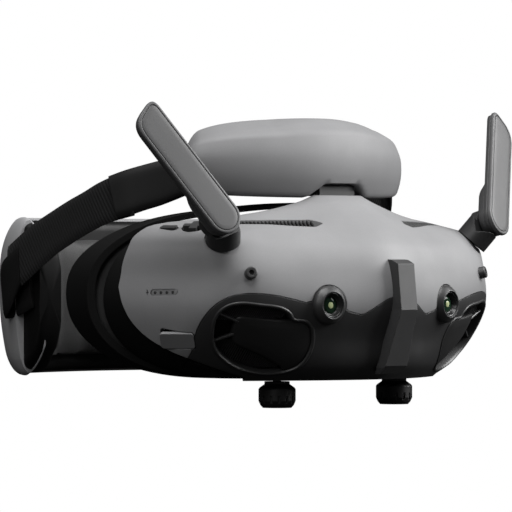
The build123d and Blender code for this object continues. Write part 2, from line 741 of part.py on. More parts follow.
FAN_Z = 42.0
FAN_FRONT_Y = -80.4
with BuildPart() as fan_housing:
    with BuildSketch(Plane.XZ.offset(-FAN_FRONT_Y)):
        with Locations((0, FAN_Z)):
            RectangleRounded(24, 24, 3)
            Circle(10.6, mode=Mode.SUBTRACT)
    extrude(amount=-6.4)
    with BuildSketch(Plane.XZ.offset(75)):
        with Locations((0, FAN_Z)):
            Rectangle(24, 2.4)
    extrude(amount=-1.0)
    with BuildSketch(Plane.XZ.offset(79)):
        with Locations((0, FAN_Z)):
            Circle(1.2)
    extrude(amount=-4.2)
write(fan_housing.part, "fan_housing")

FAN_BLADES = 9
with BuildPart() as fan_rotor:
    with BuildSketch(Plane.XY):
        Circle(4.2)
    extrude(amount=3.8)
    with BuildSketch(Plane.XY):
        with PolarLocations(6.8, FAN_BLADES):
            Rectangle(6.0, 0.9, rotation=24)
    extrude(amount=3.8)
    with BuildSketch(Plane.XY):
        Circle(1.2 + FIT_GAP)
    extrude(amount=3.8, mode=Mode.SUBTRACT)
write(Plane(origin=(0, -75.6, FAN_Z), z_dir=(0, -1, 0)).location * fan_rotor.part, "fan_rotor")

# --- bracket and pin that carry the headband --------------------------------------------------------
with BuildPart() as headband_bracket:
    with BuildSketch(Plane.YZ.offset(-9.5)):
        Polygon((-53.2, 76.6), (-45.2, 76.6), (-45.2, 83.2), (-46.4, 84.2), (-52.4, 84.2), (-53.2, 83.4),
                align=None)
    extrude(amount=19)
    with BuildSketch(Plane.YZ.offset(-10)):
        with Locations((HINGE_Y, HINGE_Z)):
            Circle(HINGE_PIN_R)
    extrude(amount=20, mode=Mode.SUBTRACT)
write(biggest(headband_bracket.part - OUTER - housing_block), "headband_bracket")

with BuildPart() as hinge_pin:
    with BuildSketch(Plane.YZ.offset(-14)):
        with Locations((HINGE_Y, HINGE_Z)):
            Circle(HINGE_PIN_R)
    extrude(amount=28)
write(hinge_pin.part, "hinge_pin")

# --- forehead pad ---------------------------------------------------------------------------------
SHELL_PROFILE = ((74.0, PAD_BOTTOM + 6.2), (78.5, PAD_BOTTOM), (80.6, PAD_BOTTOM + 1.0), (82.0, 86.0), (81.6, 97.0),
                 (79.4, 104.0), (74.5, 108.4), (70.0, PAD_TOP), (66.5, 109.0), (66.5, 106.0), (74.0, 103.0))
CUSHION_PROFILE = ((73.6, 81.0), (73.6, 102.6), (66.2, 105.6), (62.0, 105.0), (59.6, 100.0), (59.4, 88.0),
                   (62.0, 82.0), (67.0, 80.6))


def turned_band(profile, half_angle, smooth):
    """A band turned about the pad's upright axis, the same either side of the middle."""
    with BuildPart() as band:
        with BuildSketch(Plane.XZ):
            with BuildLine():
                if smooth:
                    Spline(*profile, periodic=True)
                else:
                    Polyline(*profile, close=True)
            make_face()
        revolve(axis=Axis.Z, revolution_arc=2 * half_angle)
    return Pos(0, PAD_AXIS_Y, 0) * Rot(0, 0, -90 - half_angle) * band.part


with BuildPart() as knuckles:
    for sign in (1, -1):
        with BuildSketch(Plane.YZ.offset(sign * 9.8)):
            with Locations((HINGE_Y, HINGE_Z)):
                Circle(2.9)
            with Locations((HINGE_Y - 0.9, HINGE_Z + 3.0)):
                Rectangle(4.0, 6.0)
        extrude(amount=sign * 6)
    with BuildSketch(Plane.YZ.offset(-20)):
        with Locations((HINGE_Y, HINGE_Z)):
            Circle(HINGE_PIN_R + FIT_GAP)
    extrude(amount=40, mode=Mode.SUBTRACT)

with BuildPart() as bracket_notch:
    with BuildSketch(Plane.YZ.offset(-9.8)):
        Polygon((-62, 70), (-40, 70), (-40, 86.6), (-54, 86.6), (-62, 83.0), align=None)
    extrude(amount=19.6)
with BuildPart() as peak_clearance:
    with BuildSketch(Plane.XZ.offset(62)):
        Polygon((-17, 70), (17, 70), (14.5, 82.8), (-14.5, 82.8), align=None)
    extrude(amount=-9.4)
with BuildPart() as pin_way:
    with BuildSketch(Plane.YZ.offset(-17)):
        with Locations((HINGE_Y, HINGE_Z)):
            Circle(2.9)
    extrude(amount=34)
pad_shell = turned_band(SHELL_PROFILE, PAD_HALF_ANGLE, False) - bracket_notch.part - pin_way.part
pad_shell = pad_shell - peak_clearance.part
write(biggest(pad_shell + knuckles.part), "forehead_shell")
cushion = turned_band(CUSHION_PROFILE, PAD_HALF_ANGLE - 1.5, False) - pin_way.part - bracket_notch.part
write(biggest(cushion - knuckles.part), "forehead_cushion")

# --- headband straps -------------------------------------------------------------------------------
SLEEVE_SIDE = ((-33, 98.9), (-15.9, 91.9), (-4.5, 86.8), (-9.2, 71.2), (-17.9, 74.2), (-33, 81.0))
WEBBING_SIDE = ((-4.4, 86.4), (7.1, 81.2), (24.5, 73.7), (33.3, 69.2), (39.4, 64.6), (39.4, 45.6), (21.9, 57.2),
                (4.0, 66.2), (-9.1, 71.5))
SLEEVE_PLAN = ((57.4, -31.4), (67, -16), (73.6, -3), (76.0, -3), (69.4, -16.6), (59.4, -32.8))
WEBBING_PLAN = ((72.6, -12), (74.6, -4.6), (75.2, 16), (74.9, 39.4), (76.5, 39.4), (76.8, 16), (76.0, -6), (74.2, -12))


def ribbon(side_points, plan_points):
    """A flat strap standing on edge: its side view met with its plan."""
    with BuildPart() as strap:
        with BuildSketch(Plane.YZ.offset(50)):
            Polygon(*side_points, align=None)
        extrude(amount=30)
        with BuildSketch(Plane.XY.offset(30)):
            Polygon(*plan_points, align=None)
        extrude(amount=80, mode=Mode.INTERSECT)
    return strap.part


sleeve = ribbon(SLEEVE_SIDE, SLEEVE_PLAN) - pad_shell - turned_band(CUSHION_PROFILE, PAD_HALF_ANGLE - 1.5, False)
sleeve = biggest(sleeve)
write_twins(sleeve, "strap_sleeves")
webbing = biggest(ribbon(WEBBING_SIDE, WEBBING_PLAN) - sleeve)
write_twins(webbing, "strap_webbing")

# --- battery box at the back of the head -------------------------------------------------------------
END_Y = 34.0


def box_section(side_in, back_in):
    """The plan of the battery box, drawn in at its sides and its back: half an ellipse, as a prism."""
    half = BOX_HALF_WIDTH - side_in
    start = END_Y - 10
    with BuildPart() as prism:
        with BuildSketch(Plane.XY):
            with BuildLine():
                EllipticalCenterArc((0, BOX_MID_Y), half, BOX_DEPTH - back_in, start_angle=0, arc_size=180)
                Polyline((-half, BOX_MID_Y), (-half, start), (half, start), (half, BOX_MID_Y))
            make_face()
        extrude(amount=90)
    return prism.part


def side_rounded(low, high, front, radius):
    """A rounded rectangle in the side view, run across the whole width."""
    with BuildPart() as prism:
        with BuildSketch(Plane.YZ.offset(-100)):
            with Locations(((front + 140) / 2, (low + high) / 2)):
                RectangleRounded(140 - front, high - low, radius)
        extrude(amount=200)
    return prism.part


inner_form = box_section(15.0, 27.0)
box_form = (box_section(0, 0) & side_rounded(BOX_BOTTOM, BOX_TOP, END_Y, 16)) - inner_form
box_cavity = box_section(2.6, 2.6) & side_rounded(BOX_BOTTOM + 2.6, BOX_TOP - 2.6, END_Y + 9, 13.4)
frame_form = box_section(12.4, 24.6)
with BuildPart() as strap_window:
    for sign in (1, -1):
        with BuildSketch(Plane.YZ.offset(sign * 60)):
            with Locations((39.5, 55)):
                Rectangle(11, 30)
        extrude(amount=sign * 30)
strap_gap = strap_window.part - inner_form
rear_shell = box_form - box_cavity - strap_gap
write(biggest(rear_shell), "rear_shell")
rear_frame = (box_cavity & frame_form) - inner_form - strap_gap
write(biggest(rear_frame), "rear_frame")

with BuildPart() as rear_cushion:
    add(box_section(15.2, 27.2))
    add(box_section(20.0, 33.0), mode=Mode.SUBTRACT)
    add(side_rounded(BOX_BOTTOM + 6, BOX_TOP - 6, END_Y + 6, 10), mode=Mode.INTERSECT)
write(biggest(rear_cushion.part), "rear_cushion")

with BuildPart() as strap_bar:
    with BuildSketch(Plane.XY.offset(40)):
        with Locations((75.6, 41.2)):
            Circle(1.5)
    extrude(amount=30)
write_twins(strap_bar.part, "strap_bars")

CELL_R = 9.0
CELL_PLACES = ((-31.5, 74.0), (-10.5, 78.2), (10.5, 78.2), (31.5, 74.0))
with BuildPart() as battery_cells:
    with BuildSketch(Plane.XY.offset(16)):
        with Locations(*CELL_PLACES):
            Circle(CELL_R)
    extrude(amount=50)
write(battery_cells.part, "battery_cells")

with BuildPart() as battery_board:
    with BuildSketch(Plane.XY.offset(13.8)):
        with Locations((0, 78)):
            Rectangle(36, 12)
    extrude(amount=1.4)
write(battery_board.part, "battery_board")
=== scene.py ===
import json
import math
import bmesh
import bpy
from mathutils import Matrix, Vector
from mathutils.bvhtree import BVHTree


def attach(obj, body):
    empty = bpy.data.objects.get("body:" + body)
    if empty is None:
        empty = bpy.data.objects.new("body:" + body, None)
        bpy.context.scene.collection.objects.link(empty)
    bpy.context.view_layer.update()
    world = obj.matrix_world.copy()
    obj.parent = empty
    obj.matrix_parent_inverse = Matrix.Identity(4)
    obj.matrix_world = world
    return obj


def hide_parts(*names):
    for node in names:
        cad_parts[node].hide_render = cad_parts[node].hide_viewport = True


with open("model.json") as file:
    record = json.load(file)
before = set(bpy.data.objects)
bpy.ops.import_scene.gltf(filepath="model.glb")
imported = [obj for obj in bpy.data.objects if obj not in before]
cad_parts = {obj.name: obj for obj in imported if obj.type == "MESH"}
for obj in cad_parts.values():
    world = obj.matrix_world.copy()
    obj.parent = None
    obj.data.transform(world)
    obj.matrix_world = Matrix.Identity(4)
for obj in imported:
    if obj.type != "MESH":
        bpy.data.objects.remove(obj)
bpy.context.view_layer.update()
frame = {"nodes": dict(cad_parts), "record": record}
NODES = frame["nodes"]
MM = 0.001


# --- materials ---
def plug(socket, value):
    """Link a socket to another node's output, or set its own value."""
    if isinstance(value, bpy.types.NodeSocket):
        socket.id_data.links.new(value, socket)
    else:
        socket.default_value = value


def new_nodes(owner):
    """Empty the nodes of a material or world, and give a function that adds nodes to it."""
    owner.use_nodes = True
    tree = owner.node_tree
    tree.nodes.clear()

    def add(kind, settings=None, **values):
        node = tree.nodes.new(kind)
        for key, value in (settings or {}).items():
            setattr(node, key, value)
        for key, value in values.items():
            plug(node.inputs[key.replace("_", " ")], value)
        return node

    return add


def new_material(name):
    """An empty material, a function that adds nodes to it, and its place on the object."""
    material = bpy.data.materials.new(name)
    add = new_nodes(material)
    return material, add, add("ShaderNodeTexCoord").outputs["Object"]


def noise(add, place, scale, **settings):
    """A noise texture's value."""
    return add("ShaderNodeTexNoise", Vector=place, Scale=scale, **settings).outputs["Fac"]


def ranged(add, value, **limits):
    """A value mapped from one range to another."""
    return add("ShaderNodeMapRange", Value=value, **limits).outputs[0]


def calculated(add, kind, operation, *values):
    """The result of a math node."""
    node = add(kind, {"operation": operation})
    for socket, value in zip(node.inputs, values):
        plug(socket, value)
    return node.outputs["Value"]


def mixed(add, share, first, second):
    """A mix of two colours."""
    node = add("ShaderNodeMix", {"data_type": "RGBA"}, Factor=share)
    plug(node.inputs[6], first)
    plug(node.inputs[7], second)
    return node.outputs[2]


def finished(add, material, **values):
    """The material with one principled shader."""
    shader = add("ShaderNodeBsdfPrincipled", **values)
    add("ShaderNodeOutputMaterial", Surface=shader.outputs[0])
    return material


def rgba(colour):
    """A colour with full alpha; one number makes a grey."""
    if isinstance(colour, (int, float)):
        return (colour, colour, colour * 1.02, 1.0)
    return (*colour, 1.0)


def scaled(colour, share):
    """A lighter or darker version of a colour."""
    return tuple(min(1.0, channel * share) for channel in rgba(colour)[:3]) + (1.0,)


def plastic(name, colour, rough=0.5, depth=0.12, wear=1.25, specular=0.5):
    """Moulded plastic: fine spark-eroded grain, cloudy colour and roughness, and rounded edges made lighter in
    colour, partly as rubbed wear and partly as a painted highlight.
    """
    material, add, place = new_material(name)
    fine = noise(add, place, 2000.0, Detail=3.0, Roughness=0.6)
    cloud = noise(add, place, 38.0, Detail=4.0, Roughness=0.55)
    smear = noise(add, place, 140.0, Detail=2.0, Distortion=0.6)
    rounded = add("ShaderNodeBevel", {"samples": 4}, Radius=0.35 * MM).outputs[0]
    flat = add("ShaderNodeNewGeometry").outputs["Normal"]
    align = calculated(add, "ShaderNodeVectorMath", "DOT_PRODUCT", rounded, flat)
    edge = ranged(add, align, From_Min=0.985, From_Max=0.86)
    rubbed_and_lit_edge = calculated(add, "ShaderNodeMath", "MULTIPLY", edge, smear)
    tone = ranged(add, cloud, From_Min=0.3, From_Max=0.7)
    speck = ranged(add, fine, From_Min=0.35, From_Max=0.75, To_Max=0.35)
    shade = mixed(add, tone, scaled(colour, 0.94), scaled(colour, 1.06))
    shade = mixed(add, speck, shade, scaled(colour, 0.82))
    # Edges lightened in colour: partly rubbed wear, partly a painted edge highlight.
    shade = mixed(add, rubbed_and_lit_edge, shade, scaled(colour, wear))
    roughness = ranged(add, smear, To_Min=max(0.0, rough - 0.06), To_Max=min(1.0, rough + 0.06))
    bump = add("ShaderNodeBump", Strength=depth, Distance=0.12 * MM, Height=fine, Normal=rounded)
    return finished(add, material, Base_Color=shade, Roughness=roughness, Normal=bump.outputs[0],
                    Specular_IOR_Level=specular)


def metal(name, colour, rough=0.3):
    """Brushed or turned metal with fine streaks."""
    material, add, place = new_material(name)
    stretch = add("ShaderNodeMapping", Vector=place, Scale=(1.0, 0.08, 1.0))
    streak = noise(add, stretch.outputs[0], 4000.0, Detail=2.0)
    roughness = ranged(add, streak, To_Min=rough - 0.1, To_Max=rough + 0.12)
    bump = add("ShaderNodeBump", Strength=0.15, Distance=0.05 * MM, Height=streak)
    return finished(add, material, Base_Color=rgba(colour), Roughness=roughness, Normal=bump.outputs[0],
                    Metallic=1.0)


def glass(name, colour, coat_tint=None, coat=1.0):
    """Dark coated glass: mostly gloss, with the coloured reflection of its coating at a slant painted into its
    colour.
    """
    material, add, place = new_material(name)
    roughness = ranged(add, noise(add, place, 220.0, Detail=3.0), To_Min=0.03, To_Max=0.06)
    # Painted reflection: towards a slant the colour turns to the tint its coating reflects.
    facing = add("ShaderNodeLayerWeight", Blend=0.35).outputs["Facing"]
    slant_reflection_tint = mixed(add, facing, rgba(colour), rgba(coat_tint or colour))
    return finished(add, material, Base_Color=slant_reflection_tint, Roughness=roughness, Coat_Weight=coat, Coat_Roughness=0.02,
                    Specular_IOR_Level=0.5 * coat)


def webbing(name, colour):
    """Ribbed elastic webbing: rows of rounded ribs across its run, with a fine thread pattern."""
    material, add, place = new_material(name)
    rib_pitch = 1.3 * MM
    run = calculated(add, "ShaderNodeVectorMath", "DOT_PRODUCT", place, (0, 0.87, -0.49))
    line = add("ShaderNodeCombineXYZ", X=run)
    ribs = add("ShaderNodeTexWave", {"wave_type": "BANDS", "bands_direction": "X"}, Vector=line.outputs[0],
               Scale=math.pi * 2 / rib_pitch / 20, Distortion=0.15, Detail=1.0).outputs["Fac"]
    thread = noise(add, place, 2600.0, Detail=2.0)
    height = calculated(add, "ShaderNodeMath", "MULTIPLY_ADD", thread, 0.5, ribs)
    # Painted shade and highlight: the colour follows the ribs' height, darker in the grooves and lighter on the
    # crests.
    shade = mixed(add, ribs, scaled(colour, 0.6), scaled(colour, 1.25))
    bump = add("ShaderNodeBump", Strength=0.6, Distance=0.3 * MM, Height=height)
    return finished(add, material, Base_Color=shade, Roughness=0.85, Normal=bump.outputs[0],
                    Specular_IOR_Level=0.2, Sheen_Weight=0.06, Sheen_Roughness=0.5)


def soft_cover(name, colour, rough=0.6, sheen=0.1):
    """Soft grained synthetic leather or foam facing: small cells, fine pores and a slight sheen."""
    material, add, place = new_material(name)
    pore = 0.9 * MM
    cells = add("ShaderNodeTexVoronoi", {"feature": "DISTANCE_TO_EDGE"}, Vector=place, Scale=1 / pore)
    crease = ranged(add, cells.outputs["Distance"], From_Max=0.12)
    cloud = noise(add, place, 60.0, Detail=3.0)
    height = calculated(add, "ShaderNodeMath", "MULTIPLY_ADD", noise(add, place, 3000.0, Detail=2.0), 0.3, crease)
    shade = mixed(add, cloud, scaled(colour, 0.8), scaled(colour, 1.2))
    bump = add("ShaderNodeBump", Strength=0.35, Distance=0.15 * MM, Height=height)
    roughness = ranged(add, cloud, To_Min=rough - 0.08, To_Max=rough + 0.08)
    return finished(add, material, Base_Color=shade, Roughness=roughness, Normal=bump.outputs[0],
                    Sheen_Weight=sheen)


# The plastics' edge settings make their edges lighter in colour: partly rubbed wear, partly a painted highlight.
FINISHES = {
    "grey_shell": (plastic, 0.22, {"rough": 0.56}),
    "lower_shell": (plastic, 0.024, {"rough": 0.42, "wear": 2.2}),
    "bar": (plastic, 0.036, {"wear": 1.6}),
    "housing": (plastic, 0.002, {"rough": 0.65, "wear": 2.0, "specular": 0.2}),
    "shield": (plastic, 0.0015, {"rough": 0.7, "wear": 1.8, "specular": 0.18}),
    "face_foam": (soft_cover, 0.012, {"rough": 0.85, "sheen": 0.2}),
    "vent_black": (plastic, 0.010, {"rough": 0.45, "wear": 2.4}),
    "grille": (plastic, 0.02, {"rough": 0.35, "wear": 2.0}),
    "camera_ring": (plastic, 0.015, {"rough": 0.25, "depth": 0.04, "wear": 2.0}),
    "camera_glass": (glass, (0.006, 0.014, 0.008), {"coat_tint": (0.03, 0.07, 0.04), "coat": 0.15}),
    "camera_core": (plastic, 0.01, {}),
    "steel": (metal, 0.22, {}),
    "status_window": (plastic, 0.16, {"rough": 0.4, "depth": 0.03}),
    "button_black": (plastic, 0.02, {}),
    "button_grey": (plastic, 0.035, {"rough": 0.45}),
    "port_cover": (plastic, 0.21, {"wear": 1.4}),
    "jack_black": (plastic, 0.02, {}),
    "antenna_face": (plastic, 0.062, {}),
    "antenna_back": (plastic, 0.045, {}),
    "antenna_base": (plastic, 0.02, {"rough": 0.48, "wear": 2.0}),
    "frame_black": (plastic, 0.015, {}),
    "display_glass": (glass, (0.004, 0.005, 0.008), {}),
    "lens_glass": (glass, (0.02, 0.022, 0.03), {"coat_tint": (0.12, 0.06, 0.16)}),
    "knob": (plastic, 0.01, {"rough": 0.4, "wear": 2.2}),
    "circuit_board": (plastic, (0.01, 0.06, 0.03), {"rough": 0.4}),
    "heat_sink": (metal, 0.6, {"rough": 0.35}),
    "fan": (plastic, 0.015, {"rough": 0.45}),
    "bracket": (plastic, 0.07, {"rough": 0.55, "wear": 1.5}),
    "pad_shell": (plastic, 0.2, {"rough": 0.6}),
    "pad_cushion": (soft_cover, 0.01, {}),
    "sleeve": (plastic, 0.005, {"rough": 0.6, "wear": 1.5, "specular": 0.2}),
    "webbing": (webbing, 0.009, {}),
    "rear_shell": (plastic, 0.32, {"rough": 0.48}),
    "rear_frame": (plastic, 0.003, {"wear": 3.0, "specular": 0.15}),
    "rear_cushion": (soft_cover, 0.0045, {}),
    "cell": (plastic, (0.03, 0.05, 0.12), {"rough": 0.3}),
    # The iris's pale green colour is a painted glint at the lens centre.
    "iris": (glass, (0.34, 0.40, 0.20), {"coat_tint": (0.7, 0.75, 0.45), "coat": 0.2}),
    "screw": (plastic, 0.03, {"rough": 0.38, "wear": 2.0}),
}
MATERIALS = {name: make(name, colour, **settings) for name, (make, colour, settings) in FINISHES.items()}
SLOT_OF = {row["node"]: row["material_slot"] for row in frame["record"]["subparts"]}
for node, obj in NODES.items():
    obj.data.materials.clear()
    obj.data.materials.append(MATERIALS[SLOT_OF[node]])

# --- mesh helpers ---
def cleaned(mesh, near=1e-6, turned_out=True):
    """Merge a mesh's doubled points and turn its faces outwards."""
    work = bmesh.new()
    work.from_mesh(mesh)
    bmesh.ops.remove_doubles(work, verts=work.verts, dist=near)
    if turned_out:
        bmesh.ops.recalc_face_normals(work, faces=work.faces)
    work.to_mesh(mesh)
    work.free()


def linked(name, mesh):
    """A new object in the scene."""
    obj = bpy.data.objects.new(name, mesh)
    bpy.context.scene.collection.objects.link(obj)
    return obj


def dressed(obj, body, slot, smooth_angle=None):
    """Give a piece its material, smooth it except at corners, and set it on its body."""
    obj.data.materials.clear()
    obj.data.materials.append(MATERIALS[slot])
    obj.data.polygons.foreach_set("use_smooth", [True] * len(obj.data.polygons))
    if smooth_angle:
        obj.data.set_sharp_from_angle(angle=math.radians(smooth_angle))
    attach(obj, body)
    return obj


def surface(name, verts, faces, body, slot, smooth_angle=38.0):
    """A mesh from points in millimetres, riding on a body."""
    mesh = bpy.data.meshes.new(name)
    mesh.from_pydata([Vector(v) * MM for v in verts], [], faces)
    mesh.validate()
    cleaned(mesh)
    return dressed(linked(name, mesh), body, slot, smooth_angle)


def frame_copy(node, suffix):
    """A copy of a frame node's own piece, to change and show in its place."""
    mesh = NODES[node].data.copy()
    mesh.transform(NODES[node].matrix_world)
    return linked(f"{node}_{suffix}", mesh)


def quads(rows, count, closed=True):
    """Faces between rows of points of equal length, each row joined round if closed."""
    faces = []
    for i in range(rows - 1):
        for j in range(count if closed else count - 1):
            k = (j + 1) % count
            faces.append((i * count + j, i * count + k, (i + 1) * count + k, (i + 1) * count + j))
    return faces


def skin(rings, capped=True):
    """Quads between closed rings of equal length, with a fan at either end."""
    count = len(rings[0])
    verts = [point for ring in rings for point in ring]
    faces = quads(len(rings), count)
    if capped:
        for start in (0, (len(rings) - 1) * count):
            verts.append(sum((Vector(verts[start + j]) for j in range(count)), Vector()) / count)
            faces += [(start + j, start + (j + 1) % count, len(verts) - 1) for j in range(count)]
    return verts, faces


def corner(start, here, end, steps):
    """Points round a corner from start to end."""
    shares = [k / steps for k in range(steps + 1)]
    return [start * (1 - t) ** 2 + here * 2 * t * (1 - t) + end * t * t for t in shares]


def filleted(points, steps=5):
    """A closed outline of (x, y, radius) corners, with each corner rounded by its own radius."""
    result = []
    for i, (x, y, radius) in enumerate(points):
        here = Vector((x, y))
        before = Vector(points[i - 1][:2]) - here
        after = Vector(points[(i + 1) % len(points)][:2]) - here
        reach = min(radius, before.length * 0.49, after.length * 0.49)
        result += corner(here + before.normalized() * reach, here, here + after.normalized() * reach, steps)
    return result


def spline_run(p0, p1, p2, p3, steps):
    """Points of a Catmull-Rom spline from p1 up to p2, of any dimension."""
    for k in range(steps):
        t = k / steps
        yield [0.5 * (2 * b + (c - a) * t + (2 * a - 5 * b + 4 * c - d) * t * t + (3 * b - a - 3 * c + d) * t ** 3)
               for a, b, c, d in zip(p0, p1, p2, p3)]


def spread(dense, count, parts):
    """The first count points of a dense line when it is divided into equal parts."""
    lengths = [0.0]
    for p, q in zip(dense, dense[1:]):
        lengths.append(lengths[-1] + math.dist(p, q))
    result, j = [], 0
    for i in range(count):
        goal = lengths[-1] * i / parts
        while j < len(dense) - 2 and lengths[j + 1] < goal:
            j += 1
        share = (goal - lengths[j]) / max(lengths[j + 1] - lengths[j], 1e-9)
        result.append([p + (q - p) * share for p, q in zip(dense[j], dense[j + 1])])
    return result


def smooth_curve(points, count):
    """Evenly spread points of a smooth curve through the given ones, of any dimension."""
    dense = []
    for i in range(len(points) - 1):
        dense += spline_run(points[max(i - 1, 0)], points[i], points[i + 1], points[min(i + 2, len(points) - 1)], 12)
    dense.append(list(points[-1]))
    return spread(dense, count, count - 1)


def closed_curve(points, count):
    """A smooth closed outline through points."""
    ring = [points[-1], *points, *points[:2]]
    dense = []
    for i in range(1, len(ring) - 2):
        dense += spline_run(*ring[i - 1:i + 3], 10)
    dense.append(dense[0])
    return spread(dense, count, count)


def flipped(points, side):
    """Points of the wearer's left side, or their mirror image."""
    return [Vector((p[0] * side, p[1], p[2])) for p in points]


SIDES = (("left", 1), ("right", -1))

# --- front covers: one smooth skin, parted along the seam ---
# Half outlines at rising heights, from the middle of the front round to the side.
FORM_LEVELS = (
    (10.4, ((0, -74), (20, -71), (40, -62), (58, -50), (70, -36), (74, -22))),
    (16.0, ((0, -80), (20, -77), (40, -69), (60, -57), (74, -42), (79, -22))),
    (26.0, ((0, -83), (20, -79.5), (40, -74), (62, -64), (77, -50), (83, -22))),
    (38.0, ((0, -86.5), (20, -83), (40, -78), (62.7, -69.7), (78, -56), (85.5, -22))),
    (50.0, ((0, -86), (20, -82), (40, -77), (62.7, -69.7), (76, -57), (84.5, -22))),
    (60.0, ((0, -82), (20, -78.5), (40, -73), (60, -66.5), (74, -57.5), (82.3, -26))),
    (66.0, ((0, -77), (20, -72.3), (40, -66), (59, -61), (71, -53), (79.0, -27))),
    (69.6, ((0, -72.6), (16, -69.3), (31, -62.5), (45, -56.5), (59, -48), (71, -32))),
    (72.0, ((0, -69), (12, -67), (24, -60), (36, -53), (43, -48.6), (49, -43))),
    (77.0, ((0, -61.5), (5, -61.2), (10, -60), (15, -57.5), (20, -54), (23, -50))),
    (80.0, ((0, -56.5), (3, -56.4), (6, -56.1), (9, -55.5), (12, -54.2), (13.5, -52))),
)
# The covers' rear edge: an upright cylinder, and near either side a sweep of (height, y).
REAR_AXIS_Y, REAR_R = 76.6, 130.3
CORNER_SWEEP = ((8, -60), (14, -54), (18.3, -48.8), (22, -42), (27, -33.5), (33, -27.6), (40, -24.0), (48, -21.5))
CORNER_FROM_X = 52
BEHIND_THE_COVERS_Y = -8.0
COVER_WALL = 2.2
CORNER_CURVE = smooth_curve(CORNER_SWEEP, 60)


def level_outline(z):
    """The form's half outline at any height, smoothly between the given levels."""
    rows = [[level, *[c for point in half for c in point]] for level, half in FORM_LEVELS]
    for i in range(len(rows) - 1):
        if z <= rows[i + 1][0] or i == len(rows) - 2:
            break
    p1, p2 = rows[i], rows[i + 1]
    p0, p3 = rows[max(i - 1, 0)], rows[min(i + 2, len(rows) - 1)]
    span = p2[0] - p1[0]
    t = min(max((z - p1[0]) / span, 0.0), 1.0)
    result = []
    for k in range(1, len(p1)):
        m1 = (p2[k] - p0[k]) / max(p2[0] - p0[0], 1e-6) * span
        m2 = (p3[k] - p1[k]) / max(p3[0] - p1[0], 1e-6) * span
        result.append((2 * t ** 3 - 3 * t ** 2 + 1) * p1[k] + (t ** 3 - 2 * t ** 2 + t) * m1
                      + (3 * t ** 2 - 2 * t ** 3) * p2[k] + (t ** 3 - t ** 2) * m2)
    return list(zip(result[::2], result[1::2]))


def rear_limit(x, z):
    """How far back the covers reach at a place in the front view."""
    limit = REAR_AXIS_Y - math.sqrt(max(REAR_R ** 2 - x * x, 0.0))
    if abs(x) > CORNER_FROM_X and z < CORNER_CURVE[-1][0]:
        for (z0, y0), (z1, y1) in zip(CORNER_CURVE, CORNER_CURVE[1:]):
            if z0 <= z <= z1:
                limit = min(limit, y0 + (y1 - y0) * (z - z0) / max(z1 - z0, 1e-6))
    return limit


def cover_row(z, count):
    """Points of the form at one height from the wearer's right rear edge round the front to the left."""
    half = level_outline(z)
    whole = [(-x, y) for x, y in reversed(half[1:])] + half
    right = [p for p in smooth_curve(whole, 160) if p[0] >= 0]
    kept = []
    for p, q in zip(right, right[1:] + [(right[-1][0], BEHIND_THE_COVERS_Y)]):
        kept.append(tuple(p))
        if q[1] > rear_limit(q[0], z):
            inside, outside = 0.0, 1.0
            for _ in range(20):
                t = (inside + outside) / 2
                x, y = p[0] + (q[0] - p[0]) * t, p[1] + (q[1] - p[1]) * t
                inside, outside = (t, outside) if y <= rear_limit(x, z) else (inside, t)
            kept.append((p[0] + (q[0] - p[0]) * inside, p[1] + (q[1] - p[1]) * inside))
            break
    if kept[0][0] > 1e-6:
        kept.insert(0, (0.0, half[0][1]))
    row = smooth_curve([(-x, y) for x, y in reversed(kept[1:])] + kept, count)
    return [Vector((x, y, z)) for x, y in row]


def cover_skin():
    """The whole front form as an open grid, its rows closer together at the lower edge and over the peak."""
    heights = [10.4 + 0.4 * i for i in range(4)]
    heights += [12.0 + 0.9 * i for i in range(67)] + [72.6 + 0.45 * i for i in range(16)] + [80.0]
    count = 181
    verts = [p for z in heights for p in cover_row(z, count)]
    return verts, quads(len(heights), count, closed=False)


def applied(obj):
    """Bake an object's modifiers into its mesh."""
    graph = bpy.context.evaluated_depsgraph_get()
    mesh = bpy.data.meshes.new_from_object(obj.evaluated_get(graph))
    obj.modifiers.clear()
    obj.data = mesh
    return obj


def plain(name, verts, faces):
    """A bare mesh in millimetres, to cut others or to be dressed later."""
    mesh = bpy.data.meshes.new(name)
    mesh.from_pydata([Vector(v) * MM for v in verts], [], faces)
    cleaned(mesh)
    return linked(name, mesh)


def prism(name, outline, place, low, high):
    """A prism over an outline; place(x, y, height) gives a point."""
    count = len(outline)
    verts = [place(p[0], p[1], level) for level in (low, high) for p in outline]
    return plain(name, verts, [tuple(range(count)), tuple(range(count, 2 * count)), *quads(2, count)])


def boolean(obj, cutter, operation="DIFFERENCE"):
    """Cut obj by a helper mesh and bake it."""
    cut = obj.modifiers.new("cut", "BOOLEAN")
    cut.operation = operation
    cut.solver = "EXACT"
    cut.object = cutter
    bpy.context.view_layer.update()
    return applied(obj)


def on_plane(origin, across, normal):
    """A function from (x, y, height) to a point, with x level across and height along the normal."""
    normal = Vector(normal).normalized()
    across = Vector(across)
    across = (across - normal * across.dot(normal)).normalized()
    up = normal.cross(across)
    origin = Vector(origin)
    return lambda x, y, h: origin + across * x + up * y + normal * h


def level_plane(origin, normal):
    """on_plane with its x axis level."""
    return on_plane(origin, Vector((0, 0, 1)).cross(Vector(normal).normalized()), normal)


def mirrored_place(place):
    """A plane's function on the other side of the goggles."""
    def other(x, y, h):
        p = place(x, y, h)
        return Vector((-p.x, p.y, p.z))
    return other


def circle(radius, count=48, centre=(0, 0)):
    turns = [2 * math.pi * k / count for k in range(count)]
    return [(centre[0] + radius * math.cos(turn), centre[1] + radius * math.sin(turn)) for turn in turns]


def slot_outline(length, height, count=12):
    """An outline with straight sides and round ends."""
    half = height / 2
    reach = length / 2 - half
    turns = [math.pi * k / count for k in range(count + 1)]
    right = [(reach + half * math.sin(turn), -half * math.cos(turn)) for turn in turns]
    return right + [(-x, -y) for x, y in right]


def rounded_corners(corners, radius, steps):
    """A closed outline with every corner rounded alike."""
    return [(p.x, p.y) for p in filleted([(x, y, radius) for x, y in corners], steps)]


